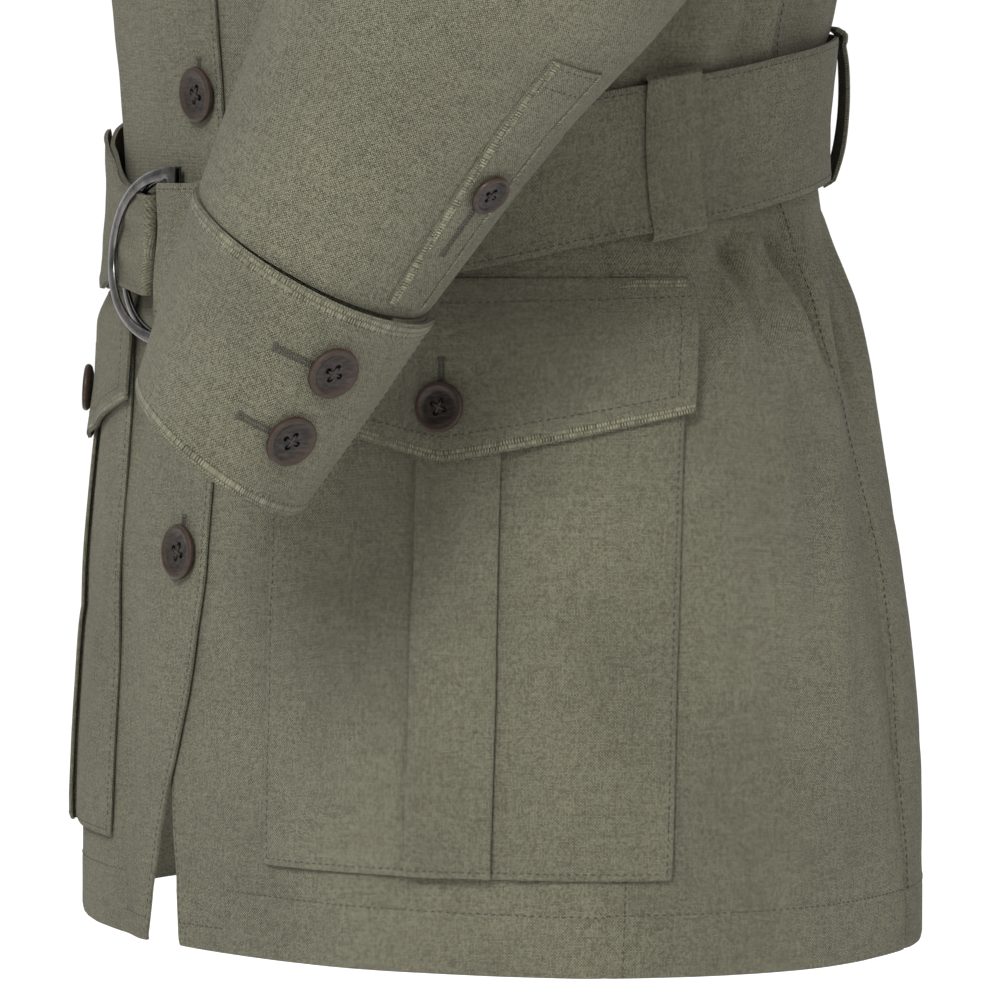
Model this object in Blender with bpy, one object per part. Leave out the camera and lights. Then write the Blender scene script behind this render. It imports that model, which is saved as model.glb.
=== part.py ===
"""A belted linen safari jacket, filled out as it is worn, with its right front lapped over its left.

Metres, +Z up, front at -Y, the wearer's left at +X. The origin is the nape, at the middle of the back neck.
The body is set out by plan sections: an angle of -90 degrees is centre front, 0 the wearer's left side
and 90 centre back. Everything sewn on a panel is made from the panel's own points, moved out.
"""

import math
from collections import namedtuple

import bmesh
import bpy
from mathutils import Vector

MM = 0.001

# Cloth and gaps
WALL = 1.7 * MM
PATCH_WALL = 1.4 * MM
SEAM = 0.3 * MM
LAY = 1.1 * MM
LAP = WALL + LAY

# Lengths down from the nape
HEM_Z = -0.695
SEAM_TOP_Z = -0.222
UNDERARM_Z = -0.24

# The closing
LAP_HALF = 18 * MM
LAP_EASE = 24 * MM

Section = namedtuple("Section", "z half_width front back centre_y")
SECTIONS = (
    Section(-0.720, 0.1855, 0.1435, 0.1420, -0.0925),
    Section(-0.700, 0.1855, 0.1435, 0.1420, -0.0925),
    Section(-0.650, 0.1840, 0.1430, 0.1410, -0.0920),
    Section(-0.600, 0.1810, 0.1400, 0.1385, -0.0925),
    Section(-0.550, 0.1755, 0.1360, 0.1350, -0.0955),
    Section(-0.503, 0.1670, 0.1310, 0.1285, -0.0970),
    Section(-0.465, 0.1610, 0.1275, 0.1245, -0.0995),
    Section(-0.435, 0.1520, 0.1225, 0.1185, -0.1030),
    Section(-0.405, 0.1490, 0.1205, 0.1170, -0.1050),
    Section(-0.357, 0.1540, 0.1240, 0.1205, -0.1050),
    Section(-0.300, 0.1650, 0.1335, 0.1255, -0.1015),
    Section(-0.262, 0.1710, 0.1365, 0.1275, -0.0985),
    Section(-0.225, 0.1770, 0.1310, 0.1285, -0.0960),
    Section(-0.190, 0.1900, 0.1170, 0.1270, -0.0925),
    Section(-0.150, 0.2060, 0.0950, 0.1235, -0.0885),
    Section(-0.100, 0.2260, 0.0610, 0.1130, -0.0850),
    Section(-0.050, 0.2450, 0.0380, 0.0990, -0.0850),
    Section(0.000, 0.2580, 0.0290, 0.0850, -0.0850),
    Section(0.040, 0.2650, 0.0250, 0.0780, -0.0850),
)

# Where the long seams stand, in degrees round the body
SeamLine = namedtuple("SeamLine", "z front_side back_side")
SEAMS = (
    SeamLine(-0.720, -28.5, 29.5),
    SeamLine(-0.640, -27.5, 28.5),
    SeamLine(-0.550, -25.0, 28.0),
    SeamLine(-0.503, -23.0, 25.5),
    SeamLine(-0.470, -21.5, 20.5),
    SeamLine(-0.435, -20.8, 17.5),
    SeamLine(-0.400, -20.5, 15.0),
    SeamLine(-0.320, -22.5, 18.0),
    SeamLine(-0.222, -25.0, 23.0),
    SeamLine(-0.150, -25.0, 23.0),
)

# The free front edges, as distances past centre front: closed at the last button, swung open at the hem
Edge = namedtuple("Edge", "z right_past left_past")
EDGES = (
    Edge(-0.720, -22 * MM, -4 * MM),
    Edge(-0.695, -17 * MM, -2.5 * MM),
    Edge(-0.660, -9 * MM, 1 * MM),
    Edge(-0.620, 2.5 * MM, 7 * MM),
    Edge(-0.590, 11 * MM, 13 * MM),
    Edge(-0.560, 17 * MM, 17 * MM),
    Edge(-0.530, 18 * MM, 18 * MM),
    Edge(-0.450, 18.5 * MM, 18 * MM),
    Edge(-0.390, 20.5 * MM, 18 * MM),
    Edge(-0.300, 20.0 * MM, 18 * MM),
    Edge(-0.200, 18 * MM, 18 * MM),
    Edge(-0.080, 18 * MM, 18 * MM),
)

# Soft folds: a gather pressed in or raised between two heights, leaning as it goes down
Fold = namedtuple("Fold", "angle lean width height z_start z_end")
FOLDS = (
    Fold(3, 260, 4.5, -4.5 * MM, -0.434, -0.520),
    Fold(13, 200, 4.0, -3.8 * MM, -0.434, -0.500),
    Fold(-8, 120, 5.0, 1.4 * MM, -0.436, -0.505),
    Fold(8, 230, 3.4, 1.8 * MM, -0.434, -0.500),
    Fold(34, 60, 5.0, -4.0 * MM, -0.428, -0.560),
    Fold(45, 30, 5.5, 3.2 * MM, -0.428, -0.590),
    Fold(57, -40, 5.0, -3.6 * MM, -0.425, -0.530),
    Fold(75, 20, 6.0, 2.6 * MM, -0.425, -0.560),
    Fold(96, -30, 5.5, -3.4 * MM, -0.425, -0.545),
    Fold(112, 40, 5.0, 2.4 * MM, -0.425, -0.520),
    Fold(128, -50, 5.5, -3.8 * MM, -0.428, -0.560),
    Fold(146, -60, 5.0, 3.0 * MM, -0.430, -0.540),
    Fold(167, -220, 4.5, -4.2 * MM, -0.434, -0.510),
    Fold(179, -240, 4.0, -3.4 * MM, -0.434, -0.500),
    Fold(188, -150, 4.6, 1.4 * MM, -0.436, -0.505),
    Fold(-10, -160, 4.4, -6.0 * MM, -0.379, -0.290),
    Fold(-2, -90, 4.0, 3.0 * MM, -0.379, -0.310),
    Fold(-33, -120, 5.0, -3.0 * MM, -0.384, -0.310),
    Fold(20, 60, 4.6, -3.2 * MM, -0.372, -0.300),
    Fold(48, 40, 5.0, 3.0 * MM, -0.366, -0.280),
    Fold(64, -30, 5.0, -3.4 * MM, -0.364, -0.290),
    Fold(88, 30, 6.0, 2.6 * MM, -0.362, -0.270),
    Fold(110, -30, 5.0, -3.2 * MM, -0.364, -0.300),
    Fold(137, 40, 5.4, -3.0 * MM, -0.368, -0.290),
    Fold(163, 80, 4.6, 2.6 * MM, -0.374, -0.310),
    Fold(190, 140, 4.6, -5.0 * MM, -0.379, -0.300),
    Fold(214, 120, 5.0, -2.8 * MM, -0.384, -0.320),
    Fold(-60, 10, 9.0, 2.4 * MM, -0.560, -0.740),
    Fold(-30, -10, 8.0, 1.8 * MM, -0.600, -0.760),
    Fold(20, 12, 9.0, -2.4 * MM, -0.560, -0.740),
    Fold(52, -15, 9.0, 3.0 * MM, -0.540, -0.740),
    Fold(80, 10, 9.0, -2.4 * MM, -0.560, -0.740),
    Fold(108, -12, 9.0, 2.6 * MM, -0.540, -0.740),
    Fold(140, 14, 9.0, -2.2 * MM, -0.560, -0.740),
    Fold(172, -10, 9.0, 2.2 * MM, -0.560, -0.740),
    Fold(236, 8, 8.0, 1.8 * MM, -0.580, -0.740),
)

# Below 1, a fold swells soon after it starts and fades slowly
FOLD_EARLY = 0.55

# The armhole and neck, a row for each level of the front and back above the long seams
Level = namedtuple("Level", "inner_x inner_z arm_x arm_z")
FRONT_LEVELS = (
    Level(0.000, -0.190, 0.1530, -0.188),
    Level(0.000, -0.155, 0.1490, -0.153),
    Level(0.000, -0.122, 0.1520, -0.120),
    Level(0.000, -0.098, 0.1610, -0.090),
    Level(0.044, -0.085, 0.1750, -0.068),
    Level(0.066, -0.050, 0.1870, -0.0565),
    Level(0.076, -0.012, 0.1935, -0.0520),
    Level(0.078, 0.010, 0.1970, -0.0500),
)
BACK_LEVELS = (
    Level(0.000, -0.185, 0.1590, -0.185),
    Level(0.000, -0.145, 0.1595, -0.150),
    Level(0.000, -0.105, 0.1630, -0.118),
    Level(0.000, -0.065, 0.1710, -0.090),
    Level(0.000, -0.030, 0.1800, -0.070),
    Level(0.000, 0.000, 0.1895, -0.0575),
    Level(0.046, 0.001, 0.1940, -0.0525),
    Level(0.078, 0.010, 0.1970, -0.0500),
)
NECK_POINT = (0.078, 0.010)
SHOULDER_TIP = (0.197, -0.050)
NECK_RISE = 1.0
SHOULDER_Y = -0.066
SHOULDER_ROUND = 0.095

# The belt stands higher at the back and dips to its rings at the front
BELT_HALF = 26 * MM
BELT_PINCHED_HALF = 18.5 * MM
BELT_PINCH_START, BELT_PINCH_TURN = 238, 14
BAR_PINCH = 1.6 * MM
BAR_PINCH_START, BAR_PINCH_TURN = -82, 4
BELT_OUT = LAP + 1.0 * MM
BELT_WALL = 1.6 * MM
BELT_MIDDLE = BELT_OUT + BELT_WALL / 2
BELT_ROWS = 5
WAIST_ARC = 2.65 * MM  # round the waist, for each degree
BAR_LOOP_ROUND = 3.6 * MM
TAIL_FOLD_ROUND = 1.95 * MM
# The belt's way round, in degrees and distances out: its end turned round the ring bars, the long run, and the tail
BAR_LOOP_LOW = BELT_MIDDLE - 0.5 * MM
BAR_LOOP_HIGH = BAR_LOOP_LOW + 2 * BAR_LOOP_ROUND
BAR_LOOP_UNDER = ((-82.6, BAR_LOOP_LOW), (-87.2, BAR_LOOP_LOW), (-92.2, BAR_LOOP_LOW))
BAR_LOOP_TURN = -92.6
BAR_LOOP_OVER = (
    (-92.2, BAR_LOOP_HIGH),
    (-89.3, BAR_LOOP_HIGH),
    (-85.7, 8.6 * MM),
    (-82.1, 6.6 * MM),
    (-78.5, 5.1 * MM),
)
BELT_RUN_START, BELT_RUN_END, BELT_RUN_STEPS = -72, 252, 36
TAIL_UNDER = 257
TAIL_TURN = 261
TAIL_TOP = BELT_MIDDLE + 2 * TAIL_FOLD_ROUND
TAIL_LAID = BELT_MIDDLE + BELT_WALL + 0.5 * MM
TAIL_BACK = (
    (257, TAIL_TOP),
    (253.5, TAIL_TOP),
    (250, TAIL_TOP),
    (245.5, 7.3 * MM),
    (241, TAIL_LAID),
    (233, TAIL_LAID),
    (224, TAIL_LAID),
)
BeltLine = namedtuple("BeltLine", "angle z")
BELT_LINE = (
    BeltLine(-120, -0.4290),
    BeltLine(-90, -0.4420),
    BeltLine(-65, -0.4330),
    BeltLine(-40, -0.4210),
    BeltLine(-8, -0.4065),
    BeltLine(25, -0.3950),
    BeltLine(50, -0.3890),
    BeltLine(90, -0.3850),
    BeltLine(130, -0.3890),
)

# The left pocket's edges and its raised pleat, in degrees round the body; the flap reaches a little further
PocketLine = namedtuple("PocketLine", "z front pleat_front pleat_back back")
POCKET = (
    PocketLine(-0.6605, -73.3, -53.1, -42.4, -19.4),
    PocketLine(-0.6000, -73.5, -52.6, -41.8, -18.2),
    PocketLine(-0.5500, -73.2, -51.6, -40.5, -15.7),
    PocketLine(-0.5000, -73.0, -50.6, -39.0, -12.7),
    PocketLine(-0.4505, -72.4, -49.2, -36.8, -8.6),
)
PLEAT_OUT = 2.6 * MM
PLEAT_EDGE = 1.0
FOLD_REACH = 4
# The flap's point and button stand a little to the front of the pleat's middle
POINT_ASIDE = -2.2
FLAP_PAST_PLEAT = 1.8
FLAP_PAST_POCKET = 1.1
POCKET_TOP_Z = -0.4695
POCKET_BOTTOM_Z = -0.6605
FLAP_TOP_Z = -0.4505
FLAP_UNDER_BELT_Z = -0.4635
FLAP_CLEAR_Z = -0.4680
FLAP_END_Z = -0.4975
FLAP_POINT_Z = -0.5150
POCKET_BUTTON_Z = -0.4955

Spot = namedtuple("Spot", "x z lift")
FRONT_BUTTONS = (
    Spot(4.0 * MM, -0.551, 0.0 * MM),
    Spot(9.5 * MM, -0.385, 0.5 * MM),
    Spot(8.5 * MM, -0.297, 0.5 * MM),
    Spot(7.0 * MM, -0.209, -0.2 * MM),
    Spot(6.0 * MM, -0.131, 0.5 * MM),
)
Button = namedtuple("Button", "radius height")
FRONT_BUTTON = Button(10.2 * MM, 3.4 * MM)
POCKET_BUTTON = Button(9.0 * MM, 3.2 * MM)
CUFF_BUTTON = Button(9.2 * MM, 3.2 * MM)
PLACKET_BUTTON = Button(7.4 * MM, 2.8 * MM)
BUTTON_PROFILE = ((0.80, 0.0), (1.0, 0.45), (0.93, 1.0), (0.78, 1.0), (0.62, 0.62))
BUTTON_SIDES = 14
BUTTON_LIFT = 0.5 * MM
SHARP = math.radians(50)
# How far each way the cloth is felt for the way it faces: along and round the sleeve, over the front, on a pocket
SLEEVE_REACH = (0.03, 5)
FRONT_REACH = (5 * MM, 5 * MM)
POCKET_REACH = (3, 5 * MM)

# Two D rings share the end of the belt. The height of each ring's underside runs from its bar to its curve
RING_HEIGHT = 66 * MM
RING_WIDTH = 48 * MM
RING_STRIP = 5.0 * MM
RING_GAUGE = 1.7 * MM
RING_MIDDLE_Z = -0.4440
RING_BAR_X = -1.4 * MM
RING_STEPS = 14
Ring = namedtuple("Ring", "name bar_out curve_out")
RINGS = (
    Ring("rear_ring", 5.25 * MM, 5.85 * MM),
    Ring("front_ring", 7.30 * MM, 11.00 * MM),
)

# Belt loops: a strip's heights from its middle, and how far it stands off, lying close or arched away
LOOP_HALF = 4.7
Rise = namedtuple("Rise", "height close arched")
RISES = (
    Rise(-29.5 * MM, 1.8 * MM, 1.8 * MM),
    Rise(-27.7 * MM, 5.0 * MM, 5.0 * MM),
    Rise(-25.6 * MM, 5.9 * MM, 6.6 * MM),
    Rise(-15.0 * MM, 5.9 * MM, 9.6 * MM),
    Rise(0.0 * MM, 6.2 * MM, 10.8 * MM),
    Rise(15.0 * MM, 5.9 * MM, 9.2 * MM),
    Rise(25.6 * MM, 5.9 * MM, 6.4 * MM),
    Rise(27.7 * MM, 5.0 * MM, 5.0 * MM),
    Rise(29.5 * MM, 1.8 * MM, 1.8 * MM),
)
Loop = namedtuple("Loop", "name angle arched")
LOOPS = (
    Loop("left_loop", -8.3, False),
    Loop("left_back_loop", 52, True),
    Loop("right_back_loop", 128, True),
    Loop("right_loop", 188.3, False),
)

# The neck from the nape to the left of centre front: the foot and top of the stand, and the collar's outer edge
Post = namedtuple("Post", "foot top edge")
POSTS = (
    Post((0.0000, -0.0005, 0.0006), (0.0000, -0.0100, 0.0360), (0.0000, 0.0105, -0.0180)),
    Post((0.0460, -0.0135, 0.0016), (0.0410, -0.0205, 0.0370), (0.0580, -0.0010, -0.0140)),
    Post((0.0625, -0.0400, 0.0064), (0.0560, -0.0440, 0.0400), (0.0840, -0.0280, -0.0040)),
    Post((0.0780, -0.0660, 0.0108), (0.0690, -0.0680, 0.0420), (0.1030, -0.0660, 0.0040)),
    Post((0.0772, -0.0823, -0.0002), (0.0690, -0.0890, 0.0270), (0.1040, -0.0880, -0.0070)),
    Post((0.0762, -0.0983, -0.0112), (0.0680, -0.1060, 0.0120), (0.1010, -0.1100, -0.0330)),
    Post((0.0712, -0.1093, -0.0300), (0.0630, -0.1170, -0.0100), (0.0960, -0.1260, -0.0600)),
    Post((0.0663, -0.1203, -0.0492), (0.0560, -0.1260, -0.0300), (0.0890, -0.1410, -0.0800)),
    Post((0.0550, -0.1285, -0.0667), (0.0460, -0.1330, -0.0470), (0.0820, -0.1540, -0.0990)),
    Post((0.0442, -0.1370, -0.0843), (0.0360, -0.1380, -0.0620), (0.0740, -0.1660, -0.1160)),
    Post((0.0220, -0.1415, -0.0888), (0.0180, -0.1405, -0.0640), (0.0660, -0.1760, -0.1320)),
    Post((0.0015, -0.1455, -0.0930), (0.0015, -0.1410, -0.0650), (0.0560, -0.1855, -0.1480)),
)
NECK_MIDDLE = (0, -0.075)
COLLAR_WALL = 1.8 * MM
# How the collar rolls over the top of the stand, as distances outward and up
COLLAR_ROLL = ((-0.9 * MM, 1.5 * MM), (0.6 * MM, 4.8 * MM), (3.8 * MM, 6.2 * MM), (7.0 * MM, 4.2 * MM))
COLLAR_FALL = (0.35, 0.7, 1.0)

LINEN = ("linen", (0.150, 0.142, 0.100, 1), 0.85, 0.0)
HORN = ("dark horn", (0.035, 0.024, 0.018, 1), 0.35, 0.0)
NICKEL = ("dark nickel", (0.35, 0.34, 0.33, 1), 0.22, 1.0)


def material(spec):
    name, colour, roughness, metallic = spec
    made = bpy.data.materials.new(name)
    made.use_nodes = True
    shader = made.node_tree.nodes["Principled BSDF"]
    shader.inputs["Base Color"].default_value = colour
    shader.inputs["Roughness"].default_value = roughness
    shader.inputs["Metallic"].default_value = metallic
    return made


def between(table, key):
    """The row at this key of a table ordered by its first column, on a smooth curve through its rows."""
    index = 0
    while index < len(table) - 2 and key > table[index + 1][0]:
        index += 1
    low, high = table[index], table[index + 1]
    before, after = table[max(index - 1, 0)], table[min(index + 2, len(table) - 1)]
    span = high[0] - low[0]
    t = min(max((key - low[0]) / span, 0), 1)
    values = [key]
    for column in range(1, len(low)):
        slope_low = (high[column] - before[column]) / (high[0] - before[0]) * span
        slope_high = (after[column] - low[column]) / (after[0] - low[0]) * span
        step = high[column] - low[column]
        cubic = slope_low + slope_high - 2 * step
        square = 3 * step - 2 * slope_low - slope_high
        values.append(low[column] + t * (slope_low + t * (square + t * cubic)))
    return type(low)(*values)


def ease(value):
    value = min(max(value, 0), 1)
    return value * value * (3 - 2 * value)


def turn_between(angle, other):
    return (angle - other + 180) % 360 - 180


def folds_at(angle, z):
    raised = 0
    for fold in FOLDS:
        along = (z - fold.z_start) / (fold.z_end - fold.z_start)
        if along < 0 or along > 1:
            continue
        away = turn_between(angle, fold.angle + fold.lean * (z - fold.z_start)) / fold.width
        swell = math.sin(math.pi * along**FOLD_EARLY)
        raised += fold.height * swell * math.exp(-away * away)
    return raised


def body(angle, z, out=0.0, folded=True):
    """A point on the body at an angle and a height, moved out along the plan normal."""
    section = between(SECTIONS, z)
    turn = math.radians(angle)
    depth = section.front if math.sin(turn) < 0 else section.back
    normal = Vector((math.cos(turn) / section.half_width, math.sin(turn) / depth, 0)).normalized()
    if folded:
        out += folds_at(angle, z)
    point = Vector((section.half_width * math.cos(turn), section.centre_y + depth * math.sin(turn), z))
    return point + normal * out


def shoulder_z(x):
    x = abs(x)
    if x < NECK_POINT[0]:
        return NECK_POINT[1] + NECK_RISE * (NECK_POINT[0] - x)
    slope = (SHOULDER_TIP[1] - NECK_POINT[1]) / (SHOULDER_TIP[0] - NECK_POINT[0])
    return NECK_POINT[1] + slope * (x - NECK_POINT[0])


def yoke(x, z, facing, out=0.0):
    """A point of the upper front (facing -1) or upper back (facing 1), rolling over into the shoulder seam."""
    section = between(SECTIONS, z)
    depth = section.front if facing < 0 else section.back
    level = math.sqrt(max(1 - (x / section.half_width) ** 2, 0.02))
    down = min(max((shoulder_z(x) - z) / SHOULDER_ROUND, 0), 1)
    roll = math.sqrt(1 - (1 - down) ** 2)
    low = max(down, 0.06)
    y = SHOULDER_Y + (section.centre_y + facing * depth * level - SHOULDER_Y) * roll + facing * SEAM / 2 * (1 - roll)
    lift = Vector((x / section.half_width * 0.6, facing * roll, 1.1 * (1 - low) ** 2)).normalized()
    return Vector((x, y, z)) + lift * out


def cloth(name, make_grid, spec, low, high, closed=False):
    """A cloth wall lofted between two layers of the same grid, one moved out to low and one to high."""
    shape = bmesh.new()
    add_wall(shape, make_grid(low), make_grid(high), closed)
    finish(name, shape, spec)


def add_wall(shape, inner, outer, closed=False, first_rim=0, last_rim=0):
    """Both faces and the rims of a wall. Rows go up it, and columns go round it from the wearer's left to the back.

    The rims at its first and last columns start at the rows first_rim and last_rim.
    """
    inside = [[shape.verts.new(point) for point in row] for row in inner]
    outside = [[shape.verts.new(point) for point in row] for row in outer]
    count = len(inside[0])
    ends = count if closed else count - 1
    for row in range(len(inside) - 1):
        for column in range(ends):
            after = (column + 1) % count
            shape.faces.new(quad(outside, row, column, after))
            shape.faces.new(reversed(quad(inside, row, column, after)))
    for column in range(ends):
        after = (column + 1) % count
        shape.faces.new((inside[0][column], inside[0][after], outside[0][after], outside[0][column]))
        shape.faces.new((outside[-1][column], outside[-1][after], inside[-1][after], inside[-1][column]))
    if closed:
        return
    for row in range(first_rim, len(inside) - 1):
        shape.faces.new((inside[row][0], outside[row][0], outside[row + 1][0], inside[row + 1][0]))
    for row in range(last_rim, len(inside) - 1):
        shape.faces.new((outside[row][-1], inside[row][-1], inside[row + 1][-1], outside[row + 1][-1]))


def quad(layer, row, column, after):
    return layer[row][column], layer[row][after], layer[row + 1][after], layer[row + 1][column]


def finish(name, shape, spec):
    mesh = bpy.data.meshes.new(name)
    shape.to_mesh(mesh)
    shape.free()
    mesh.shade_smooth()
    mesh.set_sharp_from_angle(angle=SHARP)
    made = bpy.data.objects.new(name, mesh)
    mesh.materials.append(material(spec))
    parts.objects.link(made)


# Columns across a front or half the back and across a side, closer together near the free edge
WIDE_COLUMNS = 9
SIDE_COLUMNS = 7
EDGE_CROWDING = 1.15
# Rows of a side panel that dip under the arm
UNDERARM_ROWS = 4


def steps(first, last, count):
    return [first + (last - first) * index / count for index in range(count + 1)]


def heights(top):
    """Heights from the hem up, closer together by the belt where the gathers are."""
    bands = ((HEM_Z, -0.53, 4), (-0.53, -0.46, 5), (-0.46, -0.36, 6), (-0.36, -0.30, 2), (-0.30, top, 3))
    levels = [HEM_Z]
    for start, end, count in bands:
        levels += steps(start, end, count)[1:]
    return levels


# The body panels


def seam_gap(z):
    """Half a seam's gap, in degrees round the body."""
    return math.degrees(SEAM / 2 / between(SECTIONS, z).half_width)


def front_panel(side, out):
    """The left (1) or right (-1) front, from its free edge to the seam before the side."""
    lap = LAP if side < 0 else 0.0
    grid = []

    def past_edge(z):
        edge = between(EDGES, z)
        return edge.right_past if side < 0 else edge.left_past

    def lapped(x):
        """The right front rises over the left where the two lap."""
        return lap * ease((x + LAP_HALF + LAP_EASE) / LAP_EASE)

    for z in heights(SEAM_TOP_Z):
        section = between(SECTIONS, z)
        edge_angle = -90 - math.degrees(math.asin(past_edge(z) / section.half_width))
        seam_angle = between(SEAMS, z).front_side - seam_gap(z)
        row = []
        for share in steps(0, 1, WIDE_COLUMNS):
            angle = edge_angle + (seam_angle - edge_angle) * share**EDGE_CROWDING
            across = section.half_width * math.cos(math.radians(angle))
            point_angle = angle if side > 0 else -180 - angle
            row.append(body(point_angle, z, out + lapped(across if side > 0 else -across)))
        grid.append(row)
    last = grid[-1]
    inner = abs(last[0].x)
    outer = abs(last[-1].x)
    shares = [((side * point.x) + inner) / (outer + inner) for point in last]
    for level in FRONT_LEVELS:
        start = level.inner_x if level.inner_x else -inner
        row = []
        for share in shares:
            x = start + (level.arm_x - start) * share
            z = level.inner_z + (level.arm_z - level.inner_z) * share
            row.append(yoke(side * x, z, -1, out + lapped(side * x)))
        grid.append(row)
    if side < 0:
        grid = [list(reversed(row)) for row in grid]
    return grid


def side_panel(side, out):
    """The panel under the arm, between its two long seams."""
    grid = []
    levels = heights(SEAM_TOP_Z)
    for number, z in enumerate(levels):
        row = []
        near_top = ease((number + 1 - len(levels) + UNDERARM_ROWS) / UNDERARM_ROWS)
        for share in steps(0, 1, SIDE_COLUMNS):
            drop = (UNDERARM_Z - SEAM_TOP_Z) * math.sin(math.pi * share) * near_top
            line = between(SEAMS, z + drop)
            start = line.front_side + seam_gap(z)
            end = line.back_side - seam_gap(z)
            angle = start + (end - start) * share
            row.append(body(angle if side > 0 else 180 - angle, z + drop, out))
        grid.append(row)
    if side < 0:
        grid = [list(reversed(row)) for row in grid]
    return grid


def back_half(side, out):
    """Half of the back, from centre back to the seam behind the side."""
    grid = []
    for z in heights(SEAM_TOP_Z):
        seam_angle = between(SEAMS, z).back_side + seam_gap(z)
        row = []
        for share in steps(0, 1, WIDE_COLUMNS):
            angle = seam_angle + (90 - seam_angle) * share
            row.append(body(angle if side > 0 else 180 - angle, z, out))
        grid.append(row)
    shares = [point.x / grid[-1][0].x for point in grid[-1]]
    for level in BACK_LEVELS:
        row = []
        for share in shares:
            x = level.inner_x + (level.arm_x - level.inner_x) * share
            z = level.inner_z + (level.arm_z - level.inner_z) * share
            row.append(yoke(side * x, z, 1, out))
        grid.append(row)
    if side < 0:
        grid = [list(reversed(row)) for row in grid]
    return grid


def make_back():
    """Both halves of the back, joined down the middle as far as the nape."""
    shape = bmesh.new()
    nape_row = len(heights(SEAM_TOP_Z)) + [level.inner_x > 0 for level in BACK_LEVELS].index(True) - 1
    add_wall(shape, back_half(1, -WALL), back_half(1, 0), last_rim=nape_row)
    add_wall(shape, back_half(-1, -WALL), back_half(-1, 0), first_rim=nape_row)
    bmesh.ops.remove_doubles(shape, verts=shape.verts, dist=0.01 * MM)
    finish("back", shape, LINEN)


def make_body():
    for side, word in ((1, "left"), (-1, "right")):
        cloth(word + "_front", lambda out: front_panel(side, out), LINEN, -WALL, 0)
        cloth(word + "_side", lambda out: side_panel(side, out), LINEN, -WALL, 0)
    make_back()


# Sleeves, built on the wearer's left and mirrored for the right

Arm = namedtuple("Arm", "at x y z across view fore run_x run_y run_z")
LEFT_ARM = (
    Arm(0.00, 0.1860, -0.0950, -0.1450, 0.0900, 0.0620, 0.0, 1.00, 0.00, 0.00),
    Arm(0.06, 0.2020, -0.0971, -0.1538, 0.0880, 0.0620, 0.0, 0.97, -0.15, -0.17),
    Arm(0.12, 0.2209, -0.1047, -0.1668, 0.0830, 0.0610, 0.0, 0.86, -0.33, -0.39),
    Arm(0.18, 0.2321, -0.1155, -0.1837, 0.0770, 0.0600, 0.0, 0.70, -0.47, -0.54),
    Arm(0.24, 0.2371, -0.1288, -0.2018, 0.0700, 0.0590, 0.0, 0.52, -0.58, -0.63),
    Arm(0.30, 0.2414, -0.1439, -0.2153, 0.0640, 0.0580, 0.0, 0.38, -0.64, -0.67),
    Arm(0.42, 0.2590, -0.1830, -0.2380, 0.0590, 0.0570, 0.0, 0.18, -0.68, -0.71),
    Arm(0.53, 0.2620, -0.2110, -0.2690, 0.0600, 0.0570, 0.3, -0.15, -0.59, -0.79),
    Arm(0.64, 0.2476, -0.2291, -0.2994, 0.0615, 0.0560, 1.0, -0.52, -0.38, -0.77),
    Arm(0.76, 0.2196, -0.2416, -0.3311, 0.0622, 0.0530, 1.0, -0.60, -0.27, -0.75),
    Arm(0.87, 0.1902, -0.2544, -0.3711, 0.0555, 0.0510, 1.0, -0.50, -0.26, -0.83),
    Arm(1.00, 0.1542, -0.2753, -0.4393, 0.0440, 0.0465, 1.0, -0.45, -0.26, -0.85),
)
LEFT_CUFF = Arm(1.20, 0.1256, -0.2959, -0.5057, 0.0335, 0.0455, 1.0, -0.38, -0.27, -0.88)
RIGHT_ARM = (
    Arm(0.00, 0.1860, -0.0950, -0.1450, 0.0900, 0.0620, 0.0, 1.00, 0.00, 0.00),
    Arm(0.06, 0.2023, -0.0960, -0.1538, 0.0880, 0.0615, 0.0, 0.985, 0.00, -0.17),
    Arm(0.12, 0.2222, -0.0960, -0.1682, 0.0820, 0.0610, 0.0, 0.906, 0.00, -0.42),
    Arm(0.18, 0.2375, -0.0940, -0.1905, 0.0740, 0.0600, 0.0, 0.743, 0.02, -0.67),
    Arm(0.24, 0.2428, -0.0900, -0.2161, 0.0640, 0.0590, 0.0, 0.530, 0.05, -0.85),
    Arm(0.32, 0.2433, -0.0830, -0.2434, 0.0565, 0.0585, 0.0, 0.276, 0.12, -0.95),
    Arm(0.40, 0.2423, -0.0740, -0.2755, 0.0520, 0.0575, 0.0, 0.087, 0.20, -0.97),
    Arm(0.52, 0.2410, -0.0620, -0.3200, 0.0500, 0.0540, 0.4, -0.020, 0.20, -0.98),
    Arm(0.66, 0.2400, -0.0510, -0.3800, 0.0540, 0.0455, 1.0, -0.020, 0.10, -0.99),
    Arm(0.82, 0.2405, -0.0460, -0.4430, 0.0510, 0.0425, 1.0, 0.000, -0.02, -1.00),
    Arm(1.00, 0.2425, -0.0510, -0.5115, 0.0470, 0.0400, 1.0, 0.020, -0.10, -0.99),
)
RIGHT_CUFF = Arm(1.20, 0.2445, -0.0600, -0.5855, 0.0440, 0.0375, 1.0, 0.026, -0.12, -0.99)
ARMHOLE_MIDDLE = Vector((0.186, -0.095, -0.145))
ARMHOLE_GAP = 0.9 * MM
CAP_SHARE = 0.13
CAP_STEPS = (0.0, 0.35, 0.75)
PAST_CAP = 1.15
SLEEVE_SIDES = 18
SLEEVE_RINGS = 17
FINE_STEPS = 60

UP = Vector((0, 0, 1))
FRONT = Vector((0, -1, 0))
OUTWARD = Vector((1, 0, 0))

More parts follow.
